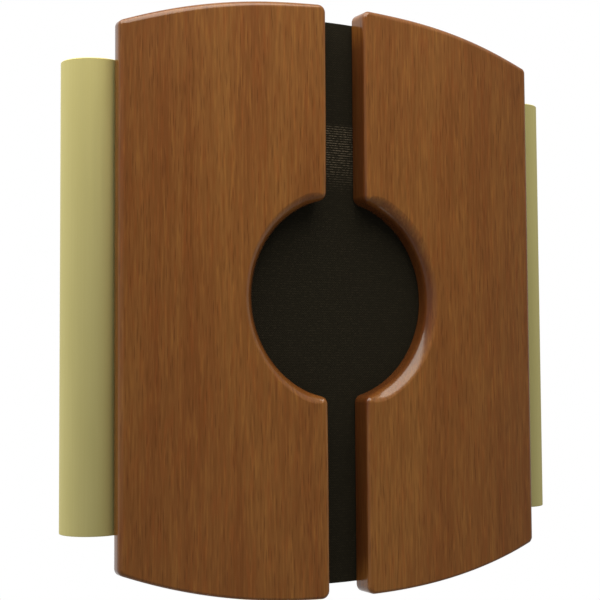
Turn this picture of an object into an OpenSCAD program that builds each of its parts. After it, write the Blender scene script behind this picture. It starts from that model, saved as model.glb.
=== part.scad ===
// Wall door chime: two arched wooden panels over a cloth-covered board, with
// brass side tubes, on a moulded case that pulls off a wall plate. Two
// solenoids on the plate drive plungers against a pair of steel tone bars.
// The wall is the plane y = 0, the front faces -Y and +Z is up.

/* [Wooden panels] */
// Width across both panels
panel_w = 173.4; // [164:0.2:190]
// Height of the panels at the middle of their arched ends
panel_h = 216; // [200:1:240]
// Rise of the arched ends above the side corners
arch_rise = 13.6; // [8:0.2:20]
// How far the front falls back from the middle to the outer sides
front_bow = 4.5; // [1:0.5:5]
// Thickness of the wood
panel_t = 9.5; // [8.5:0.5:13]
// Radius of the rounded front edge round the recess
edge_r = 4.2; // [1.5:0.1:5]
// Radius of the rounded front edges along the slot
slot_edge_r = 1.5; // [0.8:0.1:3]
// Radius of the rounded front edges along the arched ends
arch_edge_r = 2.4; // [1:0.1:4]
// Radius of the rounded front edges along the outer sides
side_edge_r = 0.9; // [0.5:0.1:2]
// Radius of the corners of a panel's outline at the slot and the recess
corner_r = 3; // [2:0.25:5]
// Radius of the outer corners of a panel's outline
side_corner_r = 2.5; // [1.5:0.5:8]
// Width of the slot between the panels
slot_w = 16; // [10:1:24]
// Radius of the round recess
recess_r = 37.3; // [26:0.1:42]

/* [Cover] */
// Distance from the wall to the front of the panels
cover_depth = 60; // [56:1:72]
// Outside width of the moulded case
case_w = 152; // [148:1:158]
// Outside height of the moulded case
case_h = 156; // [152:1:162]
// Wall of the case
case_wall = 2; // [1.6:0.2:3]
// Radius of the case's corners
case_corner_r = 7; // [5:0.5:12]
// Gap between the rim of the case and the wall
case_foot_gap = 1.5; // [0.5:0.5:3]
// Thickness of the grille board
board_t = 2.5; // [2:0.25:4]
// How far the board's arched edge lies inside the panels' edge
board_margin = 4.2; // [3:0.2:8]
// How far the board overhangs the sides of the case
board_lip = 2.5; // [1:0.25:3]
// Thickness of the speaker cloth
cloth_t = 0.5; // [0.3:0.1:0.8]
// Radius of the field of sound slots in the board
grille_r = 32; // [20:1:36]
// Height of one sound slot in the board
grille_slot = 4; // [3:0.5:6]
// Wood left between two sound slots
grille_bar = 4; // [3:0.5:6]
// Width of one vent in the top and bottom of the case
vent_w = 4; // [3:0.5:6]
// Length of one vent, along the depth of the case
vent_l = 24; // [14:1:30]

/* [Side tubes] */
// Outside diameter of a tube
tube_d = 22.2; // [18:0.2:25]
// Wall of a tube
tube_wall = 1; // [0.8:0.1:1.6]
// Length of a tube
tube_l = 163; // [150:1:180]
// Distance of a tube's axis behind the front of the panels
tube_setback = 21.1; // [21.1:0.1:26]
// Stand-off of a tube from the side of the case
saddle_t = 3.3; // [2.5:0.1:5]
// Distance between the two saddles of a tube
saddle_pitch = 100; // [80:1:120]

/* [Wall plate] */
// Thickness of the wall plate
base_t = 2.5; // [2:0.25:4]
// Height of the rim round the wall plate
rim_h = 5; // [3:0.5:8]
// Clearance between the wall plate and the inside of the case
base_gap = 1; // [0.6:0.1:2]
// Diameter of the wall screw holes
wall_hole_d = 4.8; // [4:0.1:6]
// Distance between the wall screw holes, across
wall_hole_w = 76; // [72:1:80]
// Distance between the wall screw holes, up and down
wall_hole_h = 130; // [124:1:134]
// Diameter of the wire entry
wire_hole_d = 18; // [12:0.5:20]
// Diameter of the cover's locating pegs
peg_d = 4.9; // [4:0.1:6]
// Length of the cover's locating pegs
peg_l = 8; // [5:0.5:10]

/* [Tone bars] */
// Length of a tone bar
bar_l = 138; // [126:1:140]
// Width of a tone bar, out from the wall
bar_w = 26; // [20:1:30]
// Thickness of a tone bar
bar_t = 2.5; // [2:0.25:4]
// Distance between the middles of the two bars
bar_pitch = 92; // [88:1:98]
// Diameter of the pins that carry the bars
pin_d = 3.5; // [3:0.25:4.5]

/* [Solenoids] */
// Distance of the plungers' axes from the wall
axis_d = 22; // [20:0.5:25]
// Distance between the two plungers
coil_pitch = 44; // [38:1:50]
// Length of a bobbin between the legs of its yoke
coil_l = 34; // [28:1:38]
// Diameter of a winding
winding_d = 21; // [18:0.5:23]
// Diameter of the bobbin's end flanges
flange_d = 24; // [23.5:0.5:26]
// Thickness of the yoke's strip
yoke_t = 1.6; // [1.2:0.1:2.5]
// Width of the yoke's strip
yoke_w = 22; // [18:1:24]
// Diameter of a plunger's steel core
core_d = 9; // [7:0.25:10]
// Length of a plunger's steel core
core_l = 38; // [32:1:44]
// Stroke of a plunger towards the right bar
stroke = 9; // [6:0.5:10]
// Swing of the front plunger past rest, towards the left bar
overshoot = 1.5; // [1:0.25:3]
// Diameter of the striker tips
tip_d = 5; // [4:0.25:6]
// Length of a return spring at rest
spring_l = 14; // [12.5:0.5:16]
// Wire of a return spring
spring_wire = 0.7; // [0.5:0.05:0.9]
// Turns of a return spring
spring_turns = 5; // [4:1:6]

/* [Terminals] */
// Distance between terminals
terminal_pitch = 14; // [12:0.5:17]
// Height of the terminal block off the wall plate
block_h = 9; // [7:0.5:12]
// Gap between the terminal block and the rim of the wall plate
block_gap = 4; // [3:0.5:6]

/* [Hidden] */
$fn = 64;

// Clearances: a push fit, a loose hole, and the gap left by a moving piece
fit = 0.05;
loose = 0.15;
run = 0.3;
// Overlap that carries a cut past the face it opens
past = 1;

// Depths from the wall, from the front back
wood_back = cover_depth - panel_t;
cloth_back = wood_back - cloth_t;
board_back = cloth_back - board_t;
tube_axis = cover_depth - tube_setback;

// The arched ends are arcs about a centre on the middle line
arch_r = (pow(panel_w / 2, 2) + pow(arch_rise, 2)) / (2 * arch_rise);
arch_centre = panel_h / 2 - arch_r;
arch_fn = 256;
bow_flats = 8;
// Share of a round that is left off at the front, where it ends in a fine arris
arris = 0.07;

// Places in the cover
tube_x = case_w / 2 + saddle_t + tube_d / 2;
post_inset = 14;
post_x = case_w / 2 - post_inset;
post_z = case_h / 2 - post_inset;
post_r = 4;
saddle_w = 16;
saddle_h = 12;
saddle_lip = 3;
board_w = case_w + 2 * board_lip;

// Screws: shank radius, head radius and head height
screw_r = 1.5;
head_r = 2.9;
head_h = 2;
drive_w = 0.8;
drive_h = 0.8;
post_bite = 10;
tube_bite = 3;
base_bite = 1.6;
slot_screw_inset = 10;
recess_screw_inset = 22;
side_screw_inset = 10;
end_screw_inset = 33;
side_screw_x = case_w / 2 - side_screw_inset;
panel_screw_spots = [
    [slot_w / 2 + slot_screw_inset, recess_r + recess_screw_inset],
    [side_screw_x, case_h / 2 - end_screw_inset]
];
screw_cover = 1.75;
wood_bite = panel_t - bow_at(side_screw_x) - screw_cover;

// Places on the wall plate
base_w = case_w - 2 * (case_wall + base_gap);
base_h = case_h - 2 * (case_wall + base_gap);
base_corner_r = case_corner_r - case_wall - base_gap;
rim_t = 2;
socket_r = peg_d / 2 + fit;
socket_wall = 2;
socket_floor = base_t;
socket_top = socket_floor + peg_l + run;
rib_t = 2;
rib_h = 4;
wire_hole_gap = 1;
wire_hole_z = -coil_pitch / 2 - yoke_w / 2 - wire_hole_d / 2 - wire_hole_gap;

// Tone bars hang at the two still points of a free bar
bar_edge = 0.4;
node_share = 0.224;
bar_node = bar_l * (0.5 - node_share);
bar_face = bar_pitch / 2 - bar_t / 2;
grommet_wall = 2.2;
grommet_lip = 2;
grommet_r = pin_d / 2 + grommet_wall;
grommet_flange_r = grommet_r + grommet_lip;
grommet_flange_t = 1.5;
retainer_t = 0.8;
bracket_x = bar_pitch / 2 + bar_t / 2 + grommet_flange_t + loose;
bracket_t = 8;
bracket_w = 10;
bracket_cap = 4;
bracket_top = axis_d + pin_d / 2 + bracket_cap;
bracket_foot = 4;
pin_end = 1.5;
pin_depth = 6;

// Solenoids and plungers lie along X
bore_r = core_d / 2 + run;
bobbin_tube = 1;
flange_t = 1.5;
leg_out = coil_l / 2 + yoke_t;
foot_l = 10;
bend_r = 0.8;
strap_in = axis_d + flange_d / 2 + bend_r + fit;
collar_x = -leg_out - spring_l;
collar_t = 2;
collar_lip = 2.5;
collar_r = core_d / 2 + collar_lip;
spring_gap = 0.75;
spring_r = core_d / 2 + spring_gap + spring_wire / 2;
tip_gap = 0.25;
right_tip = bar_face - stroke - tip_gap;
front_left_tip = -bar_face + overshoot + tip_gap;
pad_t = 3;
pad_size = 12;
stop_t = 2.5;
stop_gap = 1.2;
stop_x = -bar_face + stop_gap;
rear_left_tip = stop_x + stop_t + pad_t + tip_gap;

// Terminal block
block_margin = 1.5;
block_screw_x = 1.5 * terminal_pitch + head_r + block_margin;
block_w = 2 * (block_screw_x + head_r + block_margin);
block_z = 12;
block_drop = base_h / 2 - rim_t - block_gap - block_z / 2;
clamp = 9;
clamp_t = 1.2;
block_top = base_t + block_h;
terminal_bite = 6;

// Leads: hand-chosen points [x, depth from the wall, z] between the windings and the terminals
lead_r = 0.8;
lead_sides = 8;
lead_steps = 3;
lead_side = [1, 0.6, 0.3];
lead_out_x = 12;
lead_end_d = block_top + clamp_t - 0.1;
lead_end_z = -block_drop + clamp / 2 + run;
front_low = coil_pitch / 2 - winding_d / 2 - run;
rear_low = -coil_pitch / 2 - winding_d / 2 - run;
hook_x = 36.4;
hook_d = 4;
hook_z = -28;
hook_t = 1.4;
hook_w = 4;
front_route = [
    [lead_out_x, axis_d, front_low], [12, 21, 8], [15, 10, 3], [24, 5, 0], [33, hook_d, -6],
    [36, hook_d, -20], [36, hook_d, drop(0.126)], [33, hook_d, drop(0.52)], [24, 6, drop(0.677)],
    [17, 10, drop(0.795)], [terminal_pitch, lead_end_d, drop(0.913)], [terminal_pitch, lead_end_d, lead_end_z]
];
rear_route = [
    [-lead_out_x, axis_d, rear_low], [-12, 20, drop(0.126)], [-13, 12, drop(0.362)], [-14, 8, drop(0.598)],
    [-14, 10, drop(0.795)], [-terminal_pitch, lead_end_d, drop(0.913)], [-terminal_pitch, lead_end_d, lead_end_z]
];
bridge_route = [
    [-lead_out_x, axis_d, front_low], [-12, 22, 6], [-12, 22, 0], [-12, 22, -6], [-lead_out_x, axis_d, -front_low]
];
common_route = [
    [8, axis_d, rear_low], [8, 20, drop(0.126)], [7, 14, drop(0.362)], [4, 10, drop(0.598)],
    [1, 10.5, drop(0.795)], [0, lead_end_d, drop(0.913)], [0, lead_end_d, lead_end_z]
];

// Colours
wood = "#82532a";
satin_brass = "#b5ad70";
black_cloth = "#1c1a11";
black_board = "#1a1a1a";
black_moulding = "#242424";
white_moulding = "#e6e2d6";
steel = "#b8bcc0";
zinc = "#c9c6b8";
rubber = "#2c2c2c";
nylon = "#efe9d8";
coil_tape = "#c9a24a";
felt = "#5a5f58";
brass = "#c9a95a";
front_wire = "#b23a2e";
rear_wire = "#2f5fa8";
common_wire = "#e9e6df";

// Centres of the outline's corner rounds, on the right panel's upper half
slot_round_x = slot_w / 2 + corner_r;
side_round_x = panel_w / 2 - side_corner_r;
slot_round = [slot_round_x, arch_z(slot_round_x, corner_r)];
side_round = [side_round_x, arch_z(side_round_x, side_corner_r)];
recess_round = [slot_round_x, sqrt(pow(recess_r + corner_r, 2) - pow(slot_round_x, 2))];

function arch_z(x, inset) = arch_centre + sqrt(pow(arch_r - inset, 2) - x * x);
function bow_at(x) = front_bow * pow(x / (panel_w / 2), 2);
function unit(v) = v / norm(v);
// A share of the way down from the rear winding to the terminals
function drop(share) = rear_low + share * (lead_end_z - rear_low);
function flip(v, end) = [v[0], end * v[1]];

// A flat outline in X and Z, given thickness from depth d outwards
module plate(d, t) translate([0, -d, 0]) rotate([90, 0, 0]) linear_extrude(t) children();

// A round bar or hole square to the wall, from depth d0 to d1
module post(x, z, d0, d1, r) translate([x, -d0, z]) rotate([90, 0, 0]) cylinder(r = r, h = d1 - d0);

// A round bar or hole along X at a depth and height, from x0 to x1
module shaft(x0, x1, d, z, r) translate([x0, -d, z]) rotate([0, 90, 0]) cylinder(r = r, h = x1 - x0);

module rounded_rectangle(w, h, r) {
    square([w - 2 * r, h], center = true);
    square([w, h - 2 * r], center = true);
    for (sx = [-1, 1], sz = [-1, 1])
        translate([sx * (w / 2 - r), sz * (h / 2 - r)]) circle(r);
}

module four(x, z) {
    for (sx = [-1, 1], sz = [-1, 1])
        translate([sx * x, 0, sz * z]) children();
}

// The field between the two arched ends, drawn in by an inset
module arch_field(inset) {
    intersection() {
        translate([0, arch_centre]) circle(arch_r - inset, $fn = arch_fn);
        translate([0, -arch_centre]) circle(arch_r - inset, $fn = arch_fn);
    }
}

module board_outline() {
    intersection() {
        square([board_w, panel_h], center = true);
        arch_field(board_margin);
    }
}

// A pan-head screw: its shank points to +Z from the seat of the head
module pan_screw(l) {
    cylinder(r = screw_r, h = l);
    difference() {
        translate([0, 0, -head_h]) cylinder(r = head_r, h = head_h);
        translate([0, 0, -head_h]) cube([2 * head_r + past, drive_w, 2 * drive_h], center = true);
    }
}

// Cover

module wood_panel(side) {
    mirror([side < 0 ? 1 : 0, 0, 0]) difference() {
        plate(wood_back, panel_t + past) panel_outline();
        bow_waste();
        straight_edge_cutter(slot_w / 2, cover_depth, 1, slot_edge_r);
        straight_edge_cutter(panel_w / 2, cover_depth - front_bow, -1, side_edge_r);
        for (end = [0, 1]) mirror([0, 0, end]) arch_edge_cutter();
        recess_edge_cutter();
        for (spot = panel_screw_spots, end = [-1, 1])
            post(spot[0], end * spot[1], wood_back - past, wood_back + wood_bite + fit, screw_r + fit);
    }
}

// What the front loses to its bow, in narrow flats
module bow_waste() {
    start = slot_w / 2 - past;
    end = panel_w / 2 + past;
    flats = [for (i = [0:bow_flats]) start + i * (end - start) / bow_flats];
    translate([0, -cover_depth, -panel_h / 2 - past]) linear_extrude(panel_h + 2 * past)
        polygon(concat([for (x = flats) [x, bow_at(x)]], [[end, -2 * past], [start, -2 * past]]));
}

// The right panel's outline in X and Z, with its six corners rounded
module panel_outline() {
    difference() {
        intersection() {
            translate([slot_w / 2, -panel_h / 2]) square([(panel_w - slot_w) / 2, panel_h]);
            arch_field(0);
        }
        circle(recess_r, $fn = arch_fn);
        for (end = [-1, 1]) {
            corner_wedge(end, slot_round, corner_r, [-1, 0], unit(slot_round - [0, arch_centre]));
            corner_wedge(end, side_round, side_corner_r, [1, 0], unit(side_round - [0, arch_centre]));
            corner_wedge(end, recess_round, corner_r, [-1, 0], -unit(recess_round));
        }
    }
    for (end = [-1, 1], centre = [slot_round, recess_round])
        translate(flip(centre, end)) circle(corner_r);
    for (end = [-1, 1])
        translate(flip(side_round, end)) circle(side_corner_r);
}

// What a corner loses outside its round, between two directions to its sides
module corner_wedge(end, centre, r, a, b) {
    reach = 2 * r;
    tips = [centre, centre + reach * a, centre + reach * (a + b), centre + reach * b];
    polygon([for (tip = tips) flip(tip, end)]);
}

// The waste outside a rounded edge: x is the side face, way points into the wood
module edge_waste(way, r) {
    low = (arris - 1) * r;
    difference() {
        translate([way > 0 ? -past : -r, low]) square([r + past, r + past]);
        translate([way * r, low]) circle(r);
    }
}

module straight_edge_cutter(x, d, way, r) {
    translate([x, -d, -panel_h / 2 - past]) linear_extrude(panel_h + 2 * past)
        mirror([0, 1]) edge_waste(way, r);
}

module arch_edge_cutter() {
    translate([0, -cover_depth, arch_centre]) rotate([90, 0, 0])
        rotate_extrude($fn = arch_fn) translate([arch_r, 0]) edge_waste(-1, arch_edge_r);
}

module recess_edge_cutter() {
    translate([0, -cover_depth, 0]) rotate([90, 0, 0])
        rotate_extrude($fn = arch_fn) translate([recess_r, 0]) edge_waste(1, edge_r);
}

module left_wood_panel() color(wood) wood_panel(-1);

module right_wood_panel() color(wood) wood_panel(1);

module panel_screw_holes(d, t) {
    for (spot = panel_screw_spots)
        four(spot[0], spot[1]) post(0, 0, d - past, d + t + past, screw_r + loose);
}

module grille_cloth() {
    color(black_cloth) difference() {
        plate(cloth_back, cloth_t) board_outline();
        panel_screw_holes(cloth_back, cloth_t);
    }
}

module grille_slots() {
    step = grille_slot + grille_bar;
    rows = floor((grille_r - grille_slot) / step);
    for (row = [-rows:rows]) {
        z = row * step;
        reach = sqrt(pow(grille_r, 2) - z * z) - grille_slot / 2;
        translate([0, z]) square([2 * reach, grille_slot], center = true);
        for (sx = [-1, 1]) translate([sx * reach, z]) circle(d = grille_slot);
    }
}

module grille_board() {
    color(black_board) difference() {
        plate(board_back, board_t) difference() {
            board_outline();
            grille_slots();
        }
        panel_screw_holes(board_back, board_t);
        four(post_x, post_z) case_screw(loose, past);
    }
}

// A countersunk screw through the board into a post of the case
module case_screw(gap, beyond) {
    cone = head_r - screw_r;
    post(0, 0, board_back - post_bite - gap, cloth_back + beyond, screw_r + gap);
    translate([0, -(cloth_back - cone), 0]) rotate([90, 0, 0])
        cylinder(r1 = screw_r + gap, r2 = head_r + gap, h = cone);
}

module case_screws() {
    color(zinc) four(post_x, post_z) case_screw(0, 0);
}

module panel_screws() {
    color(zinc)
        for (spot = panel_screw_spots)
            four(spot[0], spot[1])
                translate([0, -board_back, 0]) rotate([90, 0, 0])
                    pan_screw(board_t + cloth_t + wood_bite);
}

module case_vents() {
    step = 3 * vent_w;
    count = floor((post_x - post_inset) / step);
    middle = (case_foot_gap + board_back) / 2;
    for (i = [-count:count], end = [-1, 1])
        translate([i * step, -middle, end * case_h / 2])
            cube([vent_w, vent_l, 4 * case_wall], center = true);
}

module case_posts() {
    web_t = 1.6;
    for (sx = [-1, 1], sz = [-1, 1]) {
        post(sx * post_x, sz * post_z, socket_top + run, board_back, post_r);
        post(sx * post_x, sz * post_z, socket_floor + run, board_back, peg_d / 2);
        plate(socket_top + run, board_back - socket_top - run) {
            translate([sx * (post_x + case_w / 2 - case_wall) / 2, sz * post_z])
                square([case_w / 2 - case_wall - post_x + fit, web_t], center = true);
            translate([sx * post_x, sz * (post_z + case_h / 2 - case_wall) / 2])
                square([web_t, case_h / 2 - case_wall - post_z + fit], center = true);
        }
    }
}

module cover_case() {
    color(black_moulding) difference() {
        union() {
            plate(case_foot_gap, board_back - case_foot_gap) difference() {
                rounded_rectangle(case_w, case_h, case_corner_r);
                rounded_rectangle(case_w - 2 * case_wall, case_h - 2 * case_wall, case_corner_r - case_wall);
            }
            case_posts();
        }
        case_vents();
        four(post_x, post_z) case_screw(fit, past);
        for (sx = [-1, 1], sz = [-1, 1])
            mirror([sx < 0 ? 1 : 0, 0, 0])
                shaft(post_x, case_w / 2 + past, tube_axis, sz * saddle_pitch / 2, screw_r + loose);
    }
}

module side_tube(side) {
    mirror([side < 0 ? 1 : 0, 0, 0]) difference() {
        translate([tube_x, -tube_axis, -tube_l / 2]) difference() {
            cylinder(d = tube_d, h = tube_l);
            translate([0, 0, -past]) cylinder(d = tube_d - 2 * tube_wall, h = tube_l + 2 * past);
        }
        for (sz = [-1, 1])
            shaft(case_w / 2, tube_x, tube_axis, sz * saddle_pitch / 2, screw_r + fit);
    }
}

module left_tube() color(satin_brass) side_tube(-1);

module right_tube() color(satin_brass) side_tube(1);

module tube_saddles() {
    color(black_moulding)
        for (sx = [0, 1], sz = [-1, 1])
            mirror([sx, 0, 0]) difference() {
                translate([case_w / 2, -tube_axis - saddle_w / 2, sz * saddle_pitch / 2 - saddle_h / 2])
                    cube([saddle_t + saddle_lip, saddle_w, saddle_h]);
                translate([tube_x, -tube_axis, -tube_l / 2]) cylinder(r = tube_d / 2 + fit, h = tube_l);
                shaft(case_w / 2 - past, tube_x, tube_axis, sz * saddle_pitch / 2, screw_r + loose);
            }
}

module tube_screws() {
    seat = case_w / 2 - case_wall;
    color(zinc)
        for (sx = [0, 1], sz = [-1, 1])
            mirror([sx, 0, 0])
                translate([seat, -tube_axis, sz * saddle_pitch / 2]) rotate([0, 90, 0])
                    pan_screw(case_wall + saddle_t + tube_wall + tube_bite);
}

// Wall plate

module base_plate() {
    color(white_moulding) difference() {
        union() {
            plate(0, base_t) rounded_rectangle(base_w, base_h, base_corner_r);
            plate(0, base_t + rim_h) difference() {
                rounded_rectangle(base_w, base_h, base_corner_r);
                rounded_rectangle(base_w - 2 * rim_t, base_h - 2 * rim_t, base_corner_r - rim_t);
            }
            four(post_x, post_z) post(0, 0, 0, socket_top, socket_r + socket_wall);
            bar_brackets();
            bracket_ribs();
            damper_stop();
            wire_hook();
        }
        four(post_x, post_z) post(0, 0, socket_floor, socket_top + past, socket_r);
        four(wall_hole_w / 2, wall_hole_h / 2) post(0, 0, -past, base_t + past, wall_hole_d / 2);
        post(0, wire_hole_z, -past, base_t + past, wire_hole_d / 2);
        bar_pin_set(fit);
        base_screw_places() post(0, 0, base_t - base_bite - fit, base_t + past, screw_r + fit);
    }
}

// Tapered brackets that carry the tone bars' pins
module bar_brackets() {
    for (sx = [0, 1], sz = [-1, 1])
        mirror([sx, 0, 0]) translate([0, 0, sz * bar_node])
            linear_extrude(bracket_w, center = true)
                polygon([
                    [bracket_x, 0], [bracket_x + bracket_t + bracket_foot, 0],
                    [bracket_x + bracket_t, -bracket_top], [bracket_x, -bracket_top]
                ]);
}

// Ribs that tie the brackets to the rim
module bracket_ribs() {
    for (sx = [0, 1], sz = [-1, 1])
        mirror([sx, 0, 0]) translate([bracket_x + bracket_t, -base_t - rib_h, sz * bar_node - rib_t / 2])
            cube([base_w / 2 - rim_t / 2 - bracket_x - bracket_t, base_t + rib_h, rib_t]);
}

// The hook that keeps the front winding's lead down on the plate
module wire_hook() {
    upright_x = hook_x + lead_r + run;
    cap_d = hook_d + lead_r + run;
    translate([0, 0, hook_z]) linear_extrude(hook_w, center = true) {
        depth_field(1, upright_x, upright_x + hook_t, 0, cap_d + hook_t);
        depth_field(1, hook_x - lead_r, upright_x + hook_t, cap_d, cap_d + hook_t);
    }
}

// The upright that holds the rear plunger's felt pad
module damper_stop() {
    translate([stop_x, -axis_d - pad_size / 2, -coil_pitch / 2 - pad_size / 2])
        cube([stop_t, axis_d + pad_size / 2, pad_size]);
}

module damper_pad() {
    color(felt)
        translate([stop_x + stop_t, -axis_d - pad_size / 2, -coil_pitch / 2 - pad_size / 2])
            cube([pad_t, pad_size, pad_size]);
}

// A rectangle of half sizes a and b with its corners taken off
module chamfered_rectangle(a, b, c) {
    polygon([
        [a - c, -b], [a, c - b], [a, b - c], [a - c, b], [c - a, b], [-a, b - c], [-a, c - b], [c - a, -b]
    ]);
}

module tone_bar(side) {
    difference() {
        translate([side * bar_pitch / 2, -axis_d, 0]) linear_extrude(bar_l, center = true)
            chamfered_rectangle(bar_t / 2, bar_w / 2, bar_edge);
        for (sz = [-1, 1])
            translate([side * bar_pitch / 2, 0, 0])
                shaft(-bar_t, bar_t, axis_d, sz * bar_node, grommet_r + fit);
    }
}

module left_tone_bar() color(steel) tone_bar(-1);

module right_tone_bar() color(steel) tone_bar(1);

module bar_pin_set(gap) {
    inner = bar_face - grommet_flange_t - retainer_t - pin_end;
    outer = bracket_x + pin_depth + gap;
    for (sx = [0, 1], sz = [-1, 1])
        mirror([sx, 0, 0]) shaft(inner, outer, axis_d, sz * bar_node, pin_d / 2 + gap);
}

module tone_bar_pins() color(steel) bar_pin_set(0);

// A ring on a bar's pin, from x0 to x1 on the right, and its three mirror images
module pin_rings(x0, x1, r) {
    for (sx = [0, 1], sz = [-1, 1])
        mirror([sx, 0, 0]) shaft(x0, x1, axis_d, sz * bar_node, r);
}

module tone_bar_grommets() {
    outer = bar_face + bar_t;
    color(rubber) difference() {
        union() {
            pin_rings(bar_face - grommet_flange_t, bar_face, grommet_flange_r);
            pin_rings(bar_face - grommet_flange_t, outer + grommet_flange_t, grommet_r);
            pin_rings(outer, outer + grommet_flange_t, grommet_flange_r);
        }
        pin_rings(bar_face - 2 * grommet_flange_t, outer + 2 * grommet_flange_t, pin_d / 2 + fit);
    }
}

module pin_retainers() {
    x1 = bar_face - grommet_flange_t;
    color(zinc) difference() {
        pin_rings(x1 - retainer_t, x1, grommet_r);
        pin_rings(x1 - retainer_t - past, x1 + past, pin_d / 2 + fit);
    }
}

// Solenoids

module bobbin(z) {
    end = coil_l / 2;
    difference() {
        union() {
            shaft(-end, end, axis_d, z, bore_r + bobbin_tube);
            shaft(-end, -end + flange_t, axis_d, z, flange_d / 2);
            shaft(end - flange_t, end, axis_d, z, flange_d / 2);
        }
        shaft(-end - past, end + past, axis_d, z, bore_r);
    }
}

module winding(z) {
    end = coil_l / 2 - flange_t;
    difference() {
        shaft(-end, end, axis_d, z, winding_d / 2);
        shaft(-end - past, end + past, axis_d, z, bore_r + bobbin_tube);
    }
}

// One folded strip: a foot, a leg, the strap over the coil, a leg and a foot
module yoke(z) {
    foot_x = leg_out + foot_l;
    foot_top = base_t + yoke_t;
    strap_out = strap_in + yoke_t;
    outer_r = bend_r + yoke_t;
    difference() {
        translate([0, 0, z]) linear_extrude(yoke_w, center = true) difference() {
            depth_field(1, -foot_x, foot_x, base_t, strap_out);
            depth_field(1, bend_r - coil_l / 2, coil_l / 2 - bend_r, base_t - past, strap_in);
            depth_field(1, -coil_l / 2, coil_l / 2, base_t - past, strap_in - bend_r);
            for (sx = [-1, 1]) {
                translate([sx * (coil_l / 2 - bend_r), bend_r - strap_in]) circle(bend_r);
                depth_field(sx, leg_out + bend_r, foot_x + past, foot_top, strap_out + past);
                depth_field(sx, leg_out, foot_x + past, foot_top + bend_r, strap_out + past);
                translate([sx * (leg_out + bend_r), -foot_top - bend_r]) circle(bend_r);
                bend_waste(sx * (leg_out - outer_r), strap_out - outer_r, sx, 1, outer_r);
                bend_waste(sx * (leg_out + bend_r), foot_top + bend_r, -sx, -1, outer_r);
            }
        }
        shaft(-foot_x, foot_x, axis_d, z, bore_r);
        for (sx = [-1, 1])
            post(sx * (leg_out + foot_l / 2), z, base_t - past, foot_top + past, screw_r + loose);
    }
}

// A rectangle in X and depth, on the side of X that is asked for
module depth_field(side, x0, x1, d0, d1) {
    translate([side * (x0 + x1) / 2, -(d0 + d1) / 2]) square([x1 - x0, d1 - d0], center = true);
}

// What a folded corner loses outside its round about (x, d), on the sides wx and wd
module bend_waste(x, d, wx, wd, r) {
    difference() {
        translate([x + wx * (r + past) / 2, -d - wd * (r + past) / 2]) square(r + past, center = true);
        translate([x, -d]) circle(r);
    }
}

module front_bobbin() color(nylon) bobbin(coil_pitch / 2);

module rear_bobbin() color(nylon) bobbin(-coil_pitch / 2);

module front_winding() color(coil_tape) winding(coil_pitch / 2);

module rear_winding() color(coil_tape) winding(-coil_pitch / 2);

module front_yoke() color(zinc) yoke(coil_pitch / 2);

module rear_yoke() color(zinc) yoke(-coil_pitch / 2);

// Where screws go into the wall plate: the yokes' feet and the terminal block
module base_screw_places() {
    four(leg_out + foot_l / 2, coil_pitch / 2) children();
    for (sx = [-1, 1]) translate([sx * block_screw_x, 0, -block_drop]) children();
}

module base_screws() {
    color(zinc) {
        four(leg_out + foot_l / 2, coil_pitch / 2)
            translate([0, -base_t - yoke_t, 0]) rotate([-90, 0, 0]) pan_screw(yoke_t + base_bite);
        for (sx = [-1, 1])
            translate([sx * block_screw_x, -block_top, -block_drop])
                rotate([-90, 0, 0]) pan_screw(block_h + base_bite);
    }
}

module plunger_core(z) shaft(collar_x, collar_x + core_l, axis_d, z, core_d / 2);

// The collar and striker at the left end, and the long striker at the right
module plunger_tips(z, left_tip) {
    shaft(collar_x - collar_t, collar_x, axis_d, z, collar_r);
    striker(collar_x - collar_t, left_tip, z);
    striker(collar_x + core_l, right_tip, z);
}

// A round rod from x0 to a domed tip at x1
module striker(x0, x1, z) {
    way = x1 > x0 ? 1 : -1;
    r = tip_d / 2;
    translate([x0, -axis_d, z]) rotate([0, way * 90, 0]) {
        cylinder(r = r, h = abs(x1 - x0) - r);
        translate([0, 0, abs(x1 - x0) - r]) sphere(r);
    }
}

module front_plunger_core() color(steel) plunger_core(coil_pitch / 2);

module front_plunger_tips() color(nylon) plunger_tips(coil_pitch / 2, front_left_tip);

module rear_plunger_core() color(steel) plunger_core(-coil_pitch / 2);

module rear_plunger_tips() color(nylon) plunger_tips(-coil_pitch / 2, rear_left_tip);

// Return springs: a helix along X whose ends run straight to their seats
spring_rings = 8;
spring_sides = 6;
spring_count = spring_turns * spring_rings;
spring_start = collar_x + fit + spring_wire;
spring_run = spring_l - 2 * (fit + spring_wire);
spring_angles = [for (i = [0:spring_count]) 360 * i / spring_rings];
spring_coil = [
    for (i = [0:spring_count])
        [spring_start + spring_run * i / spring_count,
         spring_r * cos(spring_angles[i]), spring_r * sin(spring_angles[i])]
];
spring_points = concat(
    [spring_coil[0] - [spring_wire, 0, 0]], spring_coil, [spring_coil[spring_count] + [spring_wire, 0, 0]]
);
spring_clear = min([
    for (i = [0:spring_count - spring_rings / 2], j = [i + spring_rings / 2:spring_count])
        norm(spring_coil[i] - spring_coil[j])
]) - spring_wire;
echo(str("Least gap between the turns of a return spring: ", spring_clear, " mm"));

module return_spring(z) {
    outward = [for (p = spring_points) unit([0, p[1], p[2]])];
    translate([0, -axis_d, z]) swept_tube(spring_points, outward, spring_wire / 2, spring_sides);
}

module front_spring() color(steel) return_spring(coil_pitch / 2);

module rear_spring() color(steel) return_spring(-coil_pitch / 2);

function heading(p, i) = unit(p[min(i + 1, len(p) - 1)] - p[max(i - 1, 0)]);

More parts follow.
